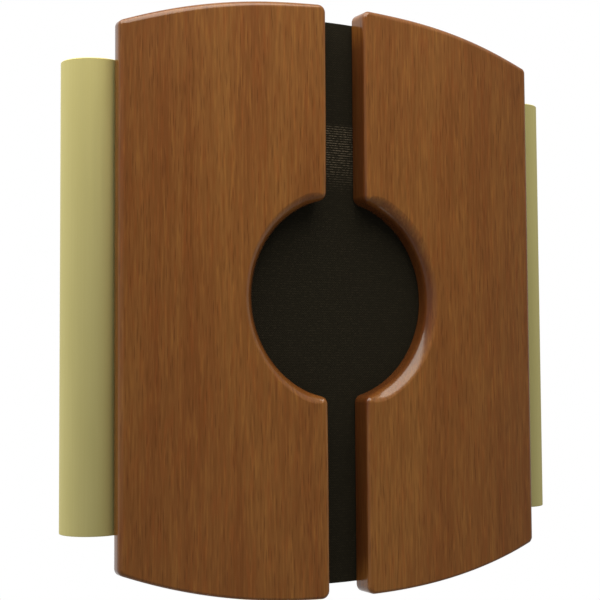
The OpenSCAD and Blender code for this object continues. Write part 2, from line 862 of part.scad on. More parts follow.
// A tube along points p, with a direction square to the path for each point
module swept_tube(p, side, r, sides) {
    n = len(p);
    rings = [
        for (i = [0:n - 1], k = [0:sides - 1])
            let (t = heading(p, i), u = unit(side[i] - (side[i] * t) * t), v = cross(t, u))
                p[i] + r * (cos(360 * k / sides) * u + sin(360 * k / sides) * v)
    ];
    walls = [
        for (i = [0:n - 2], k = [0:sides - 1], half = [0, 1])
            let (a = i * sides + k, b = i * sides + (k + 1) % sides)
                half == 0 ? [a, a + sides, b] : [b, a + sides, b + sides]
    ];
    first = [for (k = [1:sides - 2]) [0, k, k + 1]];
    last_ring = (n - 1) * sides;
    last = [for (k = [1:sides - 2]) [last_ring, last_ring + k + 1, last_ring + k]];
    polyhedron(points = rings, faces = concat(walls, first, last));
}

// Terminals

module terminal_spots() {
    for (i = [-1:1]) translate([i * terminal_pitch, 0, -block_drop]) children();
}

module terminal_block() {
    barrier_t = 1.6;
    barrier_h = 3;
    color(black_moulding) difference() {
        union() {
            translate([-block_w / 2, -block_top, -block_drop - block_z / 2]) cube([block_w, block_h, block_z]);
            for (i = [-1.5:1.5])
                translate([i * terminal_pitch - barrier_t / 2, -block_top - barrier_h, -block_drop - block_z / 2])
                    cube([barrier_t, barrier_h + past, block_z]);
        }
        terminal_spots() post(0, 0, block_top - terminal_bite - fit, block_top + past, screw_r + fit);
        for (sx = [-1, 1])
            translate([sx * block_screw_x, 0, -block_drop]) post(0, 0, 0, block_top + past, screw_r + loose);
    }
}

module terminal_clamps() {
    color(brass) terminal_spots() difference() {
        translate([-clamp / 2, -block_top - clamp_t, -clamp / 2]) cube([clamp, clamp_t, clamp]);
        post(0, 0, block_top - past, block_top + clamp_t + past, screw_r + loose);
    }
}

module terminal_screws() {
    color(brass)
        terminal_spots()
            translate([0, -block_top - clamp_t, 0]) rotate([-90, 0, 0])
                pan_screw(clamp_t + terminal_bite);
}

// Leads

function spline(a, b, c, d, t) =
    0.5 * (2 * b + (c - a) * t + (2 * a - 5 * b + 4 * c - d) * t * t + (3 * b - a - 3 * c + d) * t * t * t);

function smooth_route(p) = let (n = len(p)) concat(
    [for (i = [0:n - 2], s = [0:lead_steps - 1])
        spline(p[max(i - 1, 0)], p[i], p[i + 1], p[min(i + 2, n - 1)], s / lead_steps)],
    [p[n - 1]]
);

module lead(route) {
    path = smooth_route([for (p = route) [p[0], -p[1], p[2]]]);
    across = [for (p = path) unit(lead_side)];
    swept_tube(path, across, lead_r, lead_sides);
}

module front_lead() color(front_wire) lead(front_route);

module rear_lead() color(rear_wire) lead(rear_route);

module common_leads() {
    color(common_wire) {
        lead(bridge_route);
        lead(common_route);
    }
}

left_wood_panel();
right_wood_panel();
grille_cloth();
grille_board();
cover_case();
case_screws();
panel_screws();
left_tube();
right_tube();
tube_saddles();
tube_screws();
base_plate();
left_tone_bar();
right_tone_bar();
tone_bar_pins();
tone_bar_grommets();
pin_retainers();
front_bobbin();
rear_bobbin();
front_winding();
rear_winding();
front_yoke();
rear_yoke();
base_screws();
front_spring();
rear_spring();
front_plunger_core();
front_plunger_tips();
rear_plunger_core();
rear_plunger_tips();
damper_pad();
terminal_block();
terminal_clamps();
terminal_screws();
front_lead();
rear_lead();
common_leads();
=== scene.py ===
import math

import bmesh
import bpy
from mathutils import Matrix, Vector


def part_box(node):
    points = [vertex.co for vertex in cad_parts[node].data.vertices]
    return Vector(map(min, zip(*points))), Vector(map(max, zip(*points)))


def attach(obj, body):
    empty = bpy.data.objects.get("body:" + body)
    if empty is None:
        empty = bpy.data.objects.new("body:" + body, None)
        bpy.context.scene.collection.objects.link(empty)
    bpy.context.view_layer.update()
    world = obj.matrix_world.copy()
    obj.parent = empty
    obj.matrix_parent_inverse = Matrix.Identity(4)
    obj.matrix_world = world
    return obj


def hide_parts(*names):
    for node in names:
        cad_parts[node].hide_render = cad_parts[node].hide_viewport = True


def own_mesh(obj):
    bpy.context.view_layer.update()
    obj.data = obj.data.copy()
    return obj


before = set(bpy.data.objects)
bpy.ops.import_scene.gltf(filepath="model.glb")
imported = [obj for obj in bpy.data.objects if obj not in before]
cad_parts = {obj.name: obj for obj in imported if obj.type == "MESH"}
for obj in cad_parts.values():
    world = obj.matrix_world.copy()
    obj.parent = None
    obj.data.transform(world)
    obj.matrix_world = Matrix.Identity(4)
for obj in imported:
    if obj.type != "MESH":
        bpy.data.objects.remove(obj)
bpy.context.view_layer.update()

MM = 0.001

# Sizes of the part, in millimetres, as its solids have them
WOOD_FRONT = 60
WOOD_BACK = 50.5
PANEL_W = 173.4
PANEL_H = 216
ARCH_RISE = 13.6
FRONT_BOW = 4.5
CORNER_R = 3
SIDE_CORNER_R = 2.5
SLOT_W = 16
BOARD_W = 157
BOARD_BACK = 47.5
BOARD_MARGIN = 4.2
TUBE_R = 11.1
TUBE_WALL = 1
AXIS_D = 22
COIL_PITCH = 44

# The arc that the board's ends run along
ARCH_R = ((PANEL_W / 2) ** 2 + ARCH_RISE**2) / (2 * ARCH_RISE)
ARCH_CENTRE = PANEL_H / 2 - ARCH_R


# Camera: at the photograph's place, on the left and a little below the middle

CAMERA_TARGET = Vector((-19.8068, -60, 3.8551)) * MM
CAMERA_DISTANCE = 482.69 * MM
CAMERA_YAW = 0.4943
CAMERA_PITCH = 0.0596
CAMERA_ROLL = -0.0064
CAMERA_LENS = 80.79
CAMERA_SENSOR = 36
CAMERA_SHIFT = -0.0226


def photograph_camera():
    ahead = Vector((
        math.sin(CAMERA_YAW) * math.cos(CAMERA_PITCH),
        math.cos(CAMERA_YAW) * math.cos(CAMERA_PITCH),
        math.sin(CAMERA_PITCH),
    ))
    level = Vector((math.cos(CAMERA_YAW), -math.sin(CAMERA_YAW), 0))
    right = Matrix.Rotation(CAMERA_ROLL, 3, -ahead) @ level
    up = right.cross(ahead)
    camera = bpy.data.objects.new("photograph_camera", bpy.data.cameras.new("photograph_camera"))
    camera.data.lens = CAMERA_LENS
    camera.data.sensor_width = CAMERA_SENSOR
    camera.data.shift_y = CAMERA_SHIFT
    camera.matrix_world = Matrix.Translation(CAMERA_TARGET - CAMERA_DISTANCE * ahead) @ Matrix((
        right, up, -ahead
    )).transposed().to_4x4()
    bpy.context.scene.collection.objects.link(camera)
    bpy.context.scene.camera = camera


photograph_camera()


# Materials


def linear(colour):
    """An sRGB hex colour as linear red, green, blue and alpha."""
    parts = [int(colour[i:i + 2], 16) / 255 for i in (1, 3, 5)]
    return [c / 12.92 if c <= 0.04045 else ((c + 0.055) / 1.055) ** 2.4 for c in parts] + [1.0]


def per_mm(x, y, z):
    """The scale that makes one unit of a pattern this many millimetres long on each axis."""
    return (1 / (x * MM), 1 / (y * MM), 1 / (z * MM))


def node(tree, kind, inputs=None, **settings):
    """Adds a node. An input is a value, or the socket that feeds it."""
    made = tree.nodes.new(kind)
    for name, value in settings.items():
        setattr(made, name, value)
    for name, value in (inputs or {}).items():
        if isinstance(value, bpy.types.NodeSocket):
            tree.links.new(value, made.inputs[name])
        else:
            made.inputs[name].default_value = value
    return made


def start_material(name):
    """A new material, its emptied tree, and the coordinates of the piece it is on."""
    made = bpy.data.materials.new(name)
    made.use_nodes = True
    made.node_tree.nodes.clear()
    coords = node(made.node_tree, "ShaderNodeTexCoord").outputs["Object"]
    return made, made.node_tree, coords


# Where the painted shade toward the outer sides starts, and where it is heaviest, from the middle
SIDE_SHADE_START = 45
SIDE_SHADE_END = 80


def lacquered_beech():
    # Beech, planed, stained mid brown and clear lacquered: soft bands and fine streaks up
    # the grain, with the short dark spindles of its rays, under a smooth gloss coat; the walls of the
    # slot and the recess darker, partly heavier stain and partly painted shade, and painted shade toward
    # the outer sides
    made, tree, coords = start_material("stained_lacquered_beech")
    at_bands = node(tree, "ShaderNodeMapping", {"Vector": coords, "Scale": per_mm(7, 7, 120)})
    bands = node(tree, "ShaderNodeTexNoise", {
        "Vector": at_bands.outputs[0], "Scale": 1.0, "Detail": 3.0, "Roughness": 0.55})
    at_warmth = node(tree, "ShaderNodeMapping", {"Vector": coords, "Scale": per_mm(1.3, 1.3, 13)})
    warmth = node(tree, "ShaderNodeTexNoise", {
        "Vector": at_warmth.outputs[0], "Scale": 1.0, "Detail": 2.0})
    at_fibres = node(tree, "ShaderNodeMapping", {"Vector": coords, "Scale": per_mm(0.8, 0.8, 13)})
    fibres = node(tree, "ShaderNodeTexNoise", {
        "Vector": at_fibres.outputs[0], "Scale": 1.0, "Detail": 2.0, "Roughness": 0.6})
    at_rays = node(tree, "ShaderNodeMapping", {"Vector": coords, "Scale": per_mm(0.95, 0.95, 11)})
    rays = node(tree, "ShaderNodeTexVoronoi", {"Vector": at_rays.outputs[0], "Scale": 1.0})
    ray_core = node(tree, "ShaderNodeMapRange", {
        "Value": rays.outputs["Distance"], "From Min": 0.34, "From Max": 0.14},
        interpolation_type="SMOOTHSTEP")
    band_mix = node(tree, "ShaderNodeMapRange", {
        "Value": bands.outputs["Fac"], "From Min": 0.32, "From Max": 0.68})
    stain = node(tree, "ShaderNodeMix", {
        0: band_mix.outputs[0], 6: linear("#75461e"), 7: linear("#845728")}, data_type="RGBA")
    warm = node(tree, "ShaderNodeMapRange", {
        "Value": warmth.outputs["Fac"], "From Min": 0.48, "From Max": 0.72, "To Max": 0.4})
    warmed = node(tree, "ShaderNodeMix", {
        0: warm.outputs[0], 6: stain.outputs[2], 7: linear("#86471c")}, data_type="RGBA")
    fibre_dark = node(tree, "ShaderNodeMapRange", {
        "Value": fibres.outputs["Fac"], "From Min": 0.32, "From Max": 0.58, "To Min": 0.46, "To Max": 0.0})
    fibred = node(tree, "ShaderNodeMix", {
        0: fibre_dark.outputs[0], 6: warmed.outputs[2], 7: linear("#633b13")}, data_type="RGBA")
    fibre_light = node(tree, "ShaderNodeMapRange", {
        "Value": fibres.outputs["Fac"], "From Min": 0.56, "From Max": 0.78, "To Max": 0.5})
    streaked = node(tree, "ShaderNodeMix", {
        0: fibre_light.outputs[0], 6: fibred.outputs[2], 7: linear("#98672c")}, data_type="RGBA")
    ray_dark = node(tree, "ShaderNodeMath", {0: ray_core.outputs[0], 1: 0.36}, operation="MULTIPLY")
    rayed = node(tree, "ShaderNodeMix", {
        0: ray_dark.outputs[0], 6: streaked.outputs[2], 7: linear("#4f2b0f")}, data_type="RGBA")
    place = node(tree, "ShaderNodeSeparateXYZ", {0: coords})
    off_middle = node(tree, "ShaderNodeMath", {0: place.outputs[0]}, operation="ABSOLUTE")
    # Painted shade: the wood darker toward the outer sides
    side_shade = node(tree, "ShaderNodeMapRange", {
        "Value": off_middle.outputs[0], "From Min": SIDE_SHADE_START * MM,
        "From Max": SIDE_SHADE_END * MM, "To Max": 0.2})
    side_shaded = node(tree, "ShaderNodeMix", {
        0: side_shade.outputs[0], 6: rayed.outputs[2], 7: linear("#4b260d")}, data_type="RGBA")
    # Painted shade, partly heavier stain: the walls of the slot and the recess darker and redder where the
    # point attribute says
    sawn = node(tree, "ShaderNodeAttribute", {}, attribute_name="sawn")
    wall_stain_and_shade = node(tree, "ShaderNodeMath", {0: sawn.outputs["Fac"], 1: 0.65}, operation="MULTIPLY")
    stained = node(tree, "ShaderNodeMix", {
        0: wall_stain_and_shade.outputs[0], 6: side_shaded.outputs[2], 7: linear("#421b0d")}, data_type="RGBA")
    relief = node(tree, "ShaderNodeBump", {
        "Height": ray_core.outputs[0], "Strength": 0.15, "Distance": 0.03 * MM}, invert=True)
    shader = node(tree, "ShaderNodeBsdfPrincipled", {
        "Base Color": stained.outputs[2], "Roughness": 0.55, "IOR": 1.5, "Specular IOR Level": 0.0,
        "Normal": relief.outputs[0], "Coat Weight": 0.85, "Coat Roughness": 0.18, "Coat IOR": 1.5})
    node(tree, "ShaderNodeOutputMaterial", {"Surface": shader.outputs[0]})
    return made


def satin_brass():
    # Brass tube, drawn and satin finished, clear lacquered: fine scratches along the tube
    made, tree, coords = start_material("satin_drawn_brass")
    at_streaks = node(tree, "ShaderNodeMapping", {"Vector": coords, "Scale": per_mm(0.5, 0.5, 60)})
    streaks = node(tree, "ShaderNodeTexNoise", {
        "Vector": at_streaks.outputs[0], "Scale": 1.0, "Detail": 3.0})
    at_clouds = node(tree, "ShaderNodeMapping", {"Vector": coords, "Scale": per_mm(9, 9, 40)})
    clouds = node(tree, "ShaderNodeTexNoise", {
        "Vector": at_clouds.outputs[0], "Scale": 1.0, "Detail": 2.0})
    tint = node(tree, "ShaderNodeMix", {
        0: clouds.outputs["Fac"], 6: linear("#d1c884"), 7: linear("#dad18f")}, data_type="RGBA")
    gloss = node(tree, "ShaderNodeMapRange", {
        "Value": streaks.outputs["Fac"], "From Min": 0.3, "From Max": 0.7, "To Min": 0.5, "To Max": 0.6})
    relief = node(tree, "ShaderNodeBump", {
        "Height": streaks.outputs["Fac"], "Strength": 0.06, "Distance": 0.02 * MM})
    round_tube = node(tree, "ShaderNodeTangent", {}, direction_type="RADIAL", axis="Z")
    shader = node(tree, "ShaderNodeBsdfPrincipled", {
        "Base Color": tint.outputs[2], "Metallic": 0.75, "Roughness": gloss.outputs[0],
        "Normal": relief.outputs[0], "Anisotropic": 0.7, "Tangent": round_tube.outputs[0]})
    node(tree, "ShaderNodeOutputMaterial", {"Surface": shader.outputs[0]})
    return made


WEFT_PITCH = 0.9
WARP_PITCH = 0.8
# Heights between which painted light lies on the cloth: it fades in slowly and ends at a brink
LIT_START = 38
LIT_FULL = 54
LIT_BRINK = 64.3
LIT_END = 65.8


def speaker_cloth():
    # Open woven acrylic speaker cloth, black: weft rows with the warp's knots on them, painted light on
    # the rows' crests in random flecks of lint, and a painted pool of light on the crests in the slot above
    # the recess
    made, tree, coords = start_material("woven_speaker_cloth")
    at_rows = node(tree, "ShaderNodeMapping", {
        "Vector": coords, "Scale": per_mm(WARP_PITCH / (2 * math.pi), 1000, WEFT_PITCH / (2 * math.pi))})
    parts = node(tree, "ShaderNodeSeparateXYZ", {0: at_rows.outputs[0]})
    across = node(tree, "ShaderNodeMath", {0: parts.outputs[0]}, operation="COSINE")
    along = node(tree, "ShaderNodeMath", {0: parts.outputs[2]}, operation="COSINE")
    weave = node(tree, "ShaderNodeMath", {0: across.outputs[0], 1: along.outputs[0]}, operation="MULTIPLY")
    at_lint = node(tree, "ShaderNodeMapping", {"Vector": coords, "Scale": per_mm(0.8, 1, 0.45)})
    lint = node(tree, "ShaderNodeTexNoise", {
        "Vector": at_lint.outputs[0], "Scale": 1.0, "Detail": 2.0})
    crest = node(tree, "ShaderNodeMapRange", {
        "Value": along.outputs[0], "From Min": 0.1, "From Max": 1.0})
    fleck = node(tree, "ShaderNodeMapRange", {
        "Value": lint.outputs["Fac"], "From Min": 0.45, "From Max": 0.75})
    shown = node(tree, "ShaderNodeMath", {0: crest.outputs[0], 1: fleck.outputs[0]}, operation="MULTIPLY")
    # Painted light on the weft rows' crests, in random flecks of lint, and painted shade in the hollows
    # between
    thread = node(tree, "ShaderNodeMix", {
        0: shown.outputs[0], 6: linear("#1c1910"), 7: linear("#302b1f")}, data_type="RGBA")
    place = node(tree, "ShaderNodeSeparateXYZ", {0: coords})
    fade = node(tree, "ShaderNodeMapRange", {
        "Value": place.outputs[2], "From Min": LIT_START * MM, "From Max": LIT_FULL * MM},
        interpolation_type="SMOOTHSTEP")
    brink = node(tree, "ShaderNodeMapRange", {
        "Value": place.outputs[2], "From Min": LIT_END * MM, "From Max": LIT_BRINK * MM})
    lit_patch = node(tree, "ShaderNodeMath", {0: fade.outputs[0], 1: brink.outputs[0]}, operation="MULTIPLY")
    tufts = node(tree, "ShaderNodeMapRange", {
        "Value": lint.outputs["Fac"], "From Min": 0.38, "From Max": 0.66, "To Min": 0.1})
    lit_crests = node(tree, "ShaderNodeMath", {0: crest.outputs[0], 1: tufts.outputs[0]}, operation="MULTIPLY")
    painted_light_mask = node(tree, "ShaderNodeMath", {0: lit_crests.outputs[0], 1: lit_patch.outputs[0]}, operation="MULTIPLY")
    # Painted light: the crests in the slot above the recess paler, as a pool of light there
    paled = node(tree, "ShaderNodeMix", {
        0: painted_light_mask.outputs[0], 6: thread.outputs[2], 7: linear("#6b6150")}, data_type="RGBA")
    height = node(tree, "ShaderNodeMath", {
        0: weave.outputs[0], 1: 0.6, 2: lint.outputs["Fac"]}, operation="MULTIPLY_ADD")
    relief = node(tree, "ShaderNodeBump", {
        "Height": height.outputs[0], "Strength": 0.6, "Distance": 0.15 * MM})
    shader = node(tree, "ShaderNodeBsdfPrincipled", {
        "Base Color": paled.outputs[2], "Roughness": 0.9, "Specular IOR Level": 0.1,
        "Normal": relief.outputs[0]})
    node(tree, "ShaderNodeOutputMaterial", {"Surface": shader.outputs[0]})
    return made


def pressed_board():
    # Tempered hardboard, dyed black: matted short fibres under a dull face
    made, tree, coords = start_material("black_hardboard")
    at_fibres = node(tree, "ShaderNodeMapping", {"Vector": coords, "Scale": per_mm(1.2, 1.2, 0.6)})
    fibres = node(tree, "ShaderNodeTexNoise", {
        "Vector": at_fibres.outputs[0], "Scale": 1.0, "Detail": 4.0, "Roughness": 0.65, "Distortion": 0.8})
    shade = node(tree, "ShaderNodeMix", {
        0: fibres.outputs["Fac"], 6: linear("#141312"), 7: linear("#26231f")}, data_type="RGBA")
    relief = node(tree, "ShaderNodeBump", {
        "Height": fibres.outputs["Fac"], "Strength": 0.3, "Distance": 0.06 * MM})
    shader = node(tree, "ShaderNodeBsdfPrincipled", {
        "Base Color": shade.outputs[2], "Roughness": 0.75, "Specular IOR Level": 0.4,
        "Normal": relief.outputs[0]})
    node(tree, "ShaderNodeOutputMaterial", {"Surface": shader.outputs[0]})
    return made


def moulded_plastic(name, dark, light, grain, roughness):
    # Injection moulded ABS or nylon: a spark-eroded grain from the mould, slightly uneven in
    # gloss and shade where the melt flowed
    made, tree, coords = start_material(name)
    at_grain = node(tree, "ShaderNodeMapping", {"Vector": coords, "Scale": per_mm(grain, grain, grain)})
    grit = node(tree, "ShaderNodeTexNoise", {
        "Vector": at_grain.outputs[0], "Scale": 1.0, "Detail": 2.0, "Roughness": 0.5})
    at_flow = node(tree, "ShaderNodeMapping", {"Vector": coords, "Scale": per_mm(25, 25, 40)})
    flow = node(tree, "ShaderNodeTexNoise", {"Vector": at_flow.outputs[0], "Scale": 1.0, "Detail": 2.0})
    shade = node(tree, "ShaderNodeMix", {
        0: flow.outputs["Fac"], 6: linear(dark), 7: linear(light)}, data_type="RGBA")
    gloss = node(tree, "ShaderNodeMapRange", {
        "Value": flow.outputs["Fac"], "From Min": 0.3, "From Max": 0.7,
        "To Min": roughness - 0.06, "To Max": roughness + 0.06})
    relief = node(tree, "ShaderNodeBump", {
        "Height": grit.outputs["Fac"], "Strength": 0.25, "Distance": 0.04 * MM})
    shader = node(tree, "ShaderNodeBsdfPrincipled", {
        "Base Color": shade.outputs[2], "Roughness": gloss.outputs[0], "IOR": 1.53,
        "Normal": relief.outputs[0]})
    node(tree, "ShaderNodeOutputMaterial", {"Surface": shader.outputs[0]})
    return made


def worked_metal(name, dark, light, grain, low, high):
    # Metal with the marks of its working along the grain, uneven in gloss
    made, tree, coords = start_material(name)
    at_marks = node(tree, "ShaderNodeMapping", {"Vector": coords, "Scale": per_mm(*grain)})
    marks = node(tree, "ShaderNodeTexNoise", {
        "Vector": at_marks.outputs[0], "Scale": 1.0, "Detail": 3.0, "Roughness": 0.6})
    at_clouds = node(tree, "ShaderNodeMapping", {"Vector": coords, "Scale": per_mm(6, 6, 6)})
    clouds = node(tree, "ShaderNodeTexNoise", {"Vector": at_clouds.outputs[0], "Scale": 1.0, "Detail": 2.0})
    tint = node(tree, "ShaderNodeMix", {
        0: clouds.outputs["Fac"], 6: linear(dark), 7: linear(light)}, data_type="RGBA")
    gloss = node(tree, "ShaderNodeMapRange", {
        "Value": marks.outputs["Fac"], "From Min": 0.3, "From Max": 0.7, "To Min": low, "To Max": high})
    relief = node(tree, "ShaderNodeBump", {
        "Height": marks.outputs["Fac"], "Strength": 0.12, "Distance": 0.02 * MM})
    shader = node(tree, "ShaderNodeBsdfPrincipled", {
        "Base Color": tint.outputs[2], "Metallic": 1.0, "Roughness": gloss.outputs[0],
        "Normal": relief.outputs[0]})
    node(tree, "ShaderNodeOutputMaterial", {"Surface": shader.outputs[0]})
    return made


def moulded_rubber():
    # Black neoprene, moulded: dull, with a grey bloom in patches
    made, tree, coords = start_material("moulded_neoprene")
    at_bloom = node(tree, "ShaderNodeMapping", {"Vector": coords, "Scale": per_mm(2, 2, 2)})
    bloom = node(tree, "ShaderNodeTexNoise", {"Vector": at_bloom.outputs[0], "Scale": 1.0, "Detail": 3.0})
    shade = node(tree, "ShaderNodeMix", {
        0: bloom.outputs["Fac"], 6: linear("#1d1d1e"), 7: linear("#37373a")}, data_type="RGBA")
    relief = node(tree, "ShaderNodeBump", {
        "Height": bloom.outputs["Fac"], "Strength": 0.2, "Distance": 0.05 * MM})
    shader = node(tree, "ShaderNodeBsdfPrincipled", {
        "Base Color": shade.outputs[2], "Roughness": 0.7, "IOR": 1.52, "Normal": relief.outputs[0]})
    node(tree, "ShaderNodeOutputMaterial", {"Surface": shader.outputs[0]})
    return made


# How far from the winding's middle its tape ends
TAPE_END = 12.6


def taped_winding():
    # Enamelled copper wire under yellow polyester tape: the tape lies over the turns and is
    # glossy, and the last turns at each end show bare
    made, tree, coords = start_material("taped_copper_winding")
    parts = node(tree, "ShaderNodeSeparateXYZ", {0: coords})
    from_middle = node(tree, "ShaderNodeMath", {0: parts.outputs[0]}, operation="ABSOLUTE")
    bare = node(tree, "ShaderNodeMath", {
        0: from_middle.outputs[0], 1: TAPE_END * MM}, operation="GREATER_THAN")
    at_wrap = node(tree, "ShaderNodeMapping", {"Vector": coords, "Scale": per_mm(5, 3, 3)})
    wrap = node(tree, "ShaderNodeTexNoise", {"Vector": at_wrap.outputs[0], "Scale": 1.0, "Detail": 2.0})
    tape = node(tree, "ShaderNodeMix", {
        0: wrap.outputs["Fac"], 6: linear("#b98f2e"), 7: linear("#d6b04c")}, data_type="RGBA")
    copper = node(tree, "ShaderNodeMix", {
        0: wrap.outputs["Fac"], 6: linear("#8a3f1e"), 7: linear("#b4622f")}, data_type="RGBA")
    colour = node(tree, "ShaderNodeMix", {
        0: bare.outputs[0], 6: tape.outputs[2], 7: copper.outputs[2]}, data_type="RGBA")
    gloss = node(tree, "ShaderNodeMapRange", {"Value": wrap.outputs["Fac"], "To Min": 0.18, "To Max": 0.36})
    relief = node(tree, "ShaderNodeBump", {
        "Height": wrap.outputs["Fac"], "Strength": 0.2, "Distance": 0.05 * MM})
    shader = node(tree, "ShaderNodeBsdfPrincipled", {
        "Base Color": colour.outputs[2], "Metallic": bare.outputs[0], "Roughness": gloss.outputs[0],
        "IOR": 1.5, "Normal": relief.outputs[0]})
    node(tree, "ShaderNodeOutputMaterial", {"Surface": shader.outputs[0]})
    return made


def wool_felt():
    # Pressed grey wool felt: matted fibres of mixed shades, with a soft fuzz
    made, tree, coords = start_material("pressed_wool_felt")
    at_fibres = node(tree, "ShaderNodeMapping", {"Vector": coords, "Scale": per_mm(0.35, 0.35, 0.35)})
    fibres = node(tree, "ShaderNodeTexNoise", {
        "Vector": at_fibres.outputs[0], "Scale": 1.0, "Detail": 4.0, "Roughness": 0.7, "Distortion": 1.5})
    shade = node(tree, "ShaderNodeMix", {
        0: fibres.outputs["Fac"], 6: linear("#3f443e"), 7: linear("#7a8077")}, data_type="RGBA")
    relief = node(tree, "ShaderNodeBump", {
        "Height": fibres.outputs["Fac"], "Strength": 0.8, "Distance": 0.2 * MM})
    shader = node(tree, "ShaderNodeBsdfPrincipled", {
        "Base Color": shade.outputs[2], "Roughness": 0.95, "Specular IOR Level": 0.2,
        "Normal": relief.outputs[0], "Sheen Weight": 0.4, "Sheen Roughness": 0.5})
    node(tree, "ShaderNodeOutputMaterial", {"Surface": shader.outputs[0]})
    return made


def vinyl_sheath(name, dark, light):
    # PVC-covered bell wire, extruded: smooth, with faint drag marks and handling dirt
    made, tree, coords = start_material(name)
    at_dirt = node(tree, "ShaderNodeMapping", {"Vector": coords, "Scale": per_mm(1.5, 1.5, 4)})
    dirt = node(tree, "ShaderNodeTexNoise", {"Vector": at_dirt.outputs[0], "Scale": 1.0, "Detail": 3.0})
    shade = node(tree, "ShaderNodeMix", {
        0: dirt.outputs["Fac"], 6: linear(dark), 7: linear(light)}, data_type="RGBA")
    gloss = node(tree, "ShaderNodeMapRange", {"Value": dirt.outputs["Fac"], "To Min": 0.3, "To Max": 0.5})
    shader = node(tree, "ShaderNodeBsdfPrincipled", {
        "Base Color": shade.outputs[2], "Roughness": gloss.outputs[0], "IOR": 1.53})
    node(tree, "ShaderNodeOutputMaterial", {"Surface": shader.outputs[0]})
    return made


BEECH = lacquered_beech()
BRASS = satin_brass()
CLOTH = speaker_cloth()
BOARD = pressed_board()
BLACK_ABS = moulded_plastic("textured_black_abs", "#1f1f20", "#2a2a2b", 0.5, 0.5)
WHITE_ABS = moulded_plastic("moulded_white_abs", "#dcd8ca", "#e9e6db", 0.7, 0.42)
NYLON = moulded_plastic("moulded_natural_nylon", "#e6dfca", "#f1ecdd", 0.9, 0.38)
ZINC = worked_metal("bright_zinc_plate", "#bdbaae", "#d3d0c6", (1.5, 1.5, 1.5), 0.26, 0.4)
GROUND_STEEL = worked_metal("ground_nickelled_steel", "#b3b6ba", "#c6c9cc", (0.4, 0.4, 25), 0.2, 0.34)
DRAWN_STEEL = worked_metal("drawn_spring_steel", "#a2a5a9", "#bcbfc2", (0.5, 0.5, 0.5), 0.24, 0.36)
STAMPED_BRASS = worked_metal("stamped_brass", "#bb9a4e", "#d2b468", (0.8, 0.8, 0.8), 0.26, 0.42)
RUBBER = moulded_rubber()
WINDING = taped_winding()
FELT = wool_felt()
RED_PVC = vinyl_sheath("red_pvc_sheath", "#9c2d22", "#bb4034")
BLUE_PVC = vinyl_sheath("blue_pvc_sheath", "#274f92", "#3868b6")
WHITE_PVC = vinyl_sheath("white_pvc_sheath", "#d8d4ca", "#edeae3")


# Modelling helpers

# How far apart the points may be that are joined into one, in a solid's mesh and in a wire's
SOLID_JOIN = 0.002
WIRE_JOIN = 0.01
FLAT_DEGREES = 1
EASE_STEPS = 2
ROUND_STEPS = 3
ROUND_DEGREES = 50


def deselect():
    for other in bpy.context.selected_objects:
        other.select_set(False)


def only(piece):
    """Makes a piece the only one selected, and the active one."""
    deselect()
    piece.select_set(True)
    bpy.context.view_layer.objects.active = piece


def added(name):
    """The primitive just added, named, with its place in its mesh."""
    piece = bpy.context.object
    piece.name = name
    piece.data.name = name
    bpy.ops.object.transform_apply(location=True, rotation=True, scale=True)
    return piece


def apply(piece, kind, **settings):
    """Adds a modifier and applies it at once."""
    only(piece)
    modifier = piece.modifiers.new(kind.lower(), kind)
    for name, value in settings.items():
        setattr(modifier, name, value)
    bpy.ops.object.modifier_apply(modifier=modifier.name)


def open_edges(piece, wanted):
    """Opens a piece in edit mode with the edges selected that the test wants."""
    only(piece)
    bpy.ops.object.mode_set(mode="EDIT")
    bpy.ops.mesh.select_mode(type="EDGE")
    bpy.ops.mesh.select_all(action="DESELECT")
    mesh = bmesh.from_edit_mesh(piece.data)
    for edge in mesh.edges:
        if wanted(edge):
            edge.select_set(True)
    mesh.select_flush_mode()
    bmesh.update_edit_mesh(piece.data)


def open_all(piece, kind="VERT"):
    """Opens a piece in edit mode with everything selected, as points, edges or faces."""
    only(piece)
    bpy.ops.object.mode_set(mode="EDIT")
    bpy.ops.mesh.select_mode(type=kind)
    bpy.ops.mesh.select_all(action="SELECT")


def close():
    """Ends edit mode."""
    bpy.ops.object.mode_set(mode="OBJECT")


def close_outward():
    """Turns all faces of the open piece outward and ends edit mode."""
    bpy.ops.mesh.select_all(action="SELECT")
    bpy.ops.mesh.normals_make_consistent(inside=False)
    close()


def smooth(piece, degrees=40):
    """Smooth shading, with a crease where faces meet at more than the angle."""
    only(piece)
    bpy.ops.object.shade_smooth_by_angle(angle=math.radians(degrees))
    apply(piece, "WEIGHTED_NORMAL", keep_sharp=True, weight=100)


def dress(piece, material, body, slot, *nodes):
    """Gives a piece its material and the body it rides on, and hides the nodes it stands for; the slot is
    not used.
    """
    piece.data.materials.clear()
    piece.data.materials.append(material)
    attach(piece, body)
    if nodes:
        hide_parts(*nodes)


def eased(name, material, body, slot, width, degrees=35):
    """A node's own shape with its corners eased, standing for the node."""
    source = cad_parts[name]
    piece = bpy.data.objects.new(name + "_eased", source.data.copy())
    bpy.context.scene.collection.objects.link(piece)
    open_all(piece)
    bpy.ops.mesh.remove_doubles(threshold=SOLID_JOIN * MM)
    bpy.ops.mesh.dissolve_limited(angle_limit=math.radians(FLAT_DEGREES))
    close()
    apply(piece, "BEVEL", width=width * MM, segments=EASE_STEPS, limit_method="ANGLE",
          angle_limit=math.radians(degrees), use_clamp_overlap=False)
    smooth(piece, degrees)
    dress(piece, material, body, slot, name)


# Wooden panels


def turned(centre, radius, start, end, steps, edge_r):
    """Points on an arc from one angle to another, each with the radius of the edge there."""
    angles = [start + (end - start) * i / steps for i in range(steps + 1)]
    return [(centre[0] + radius * math.cos(a), centre[1] + radius * math.sin(a), edge_r) for a in angles]


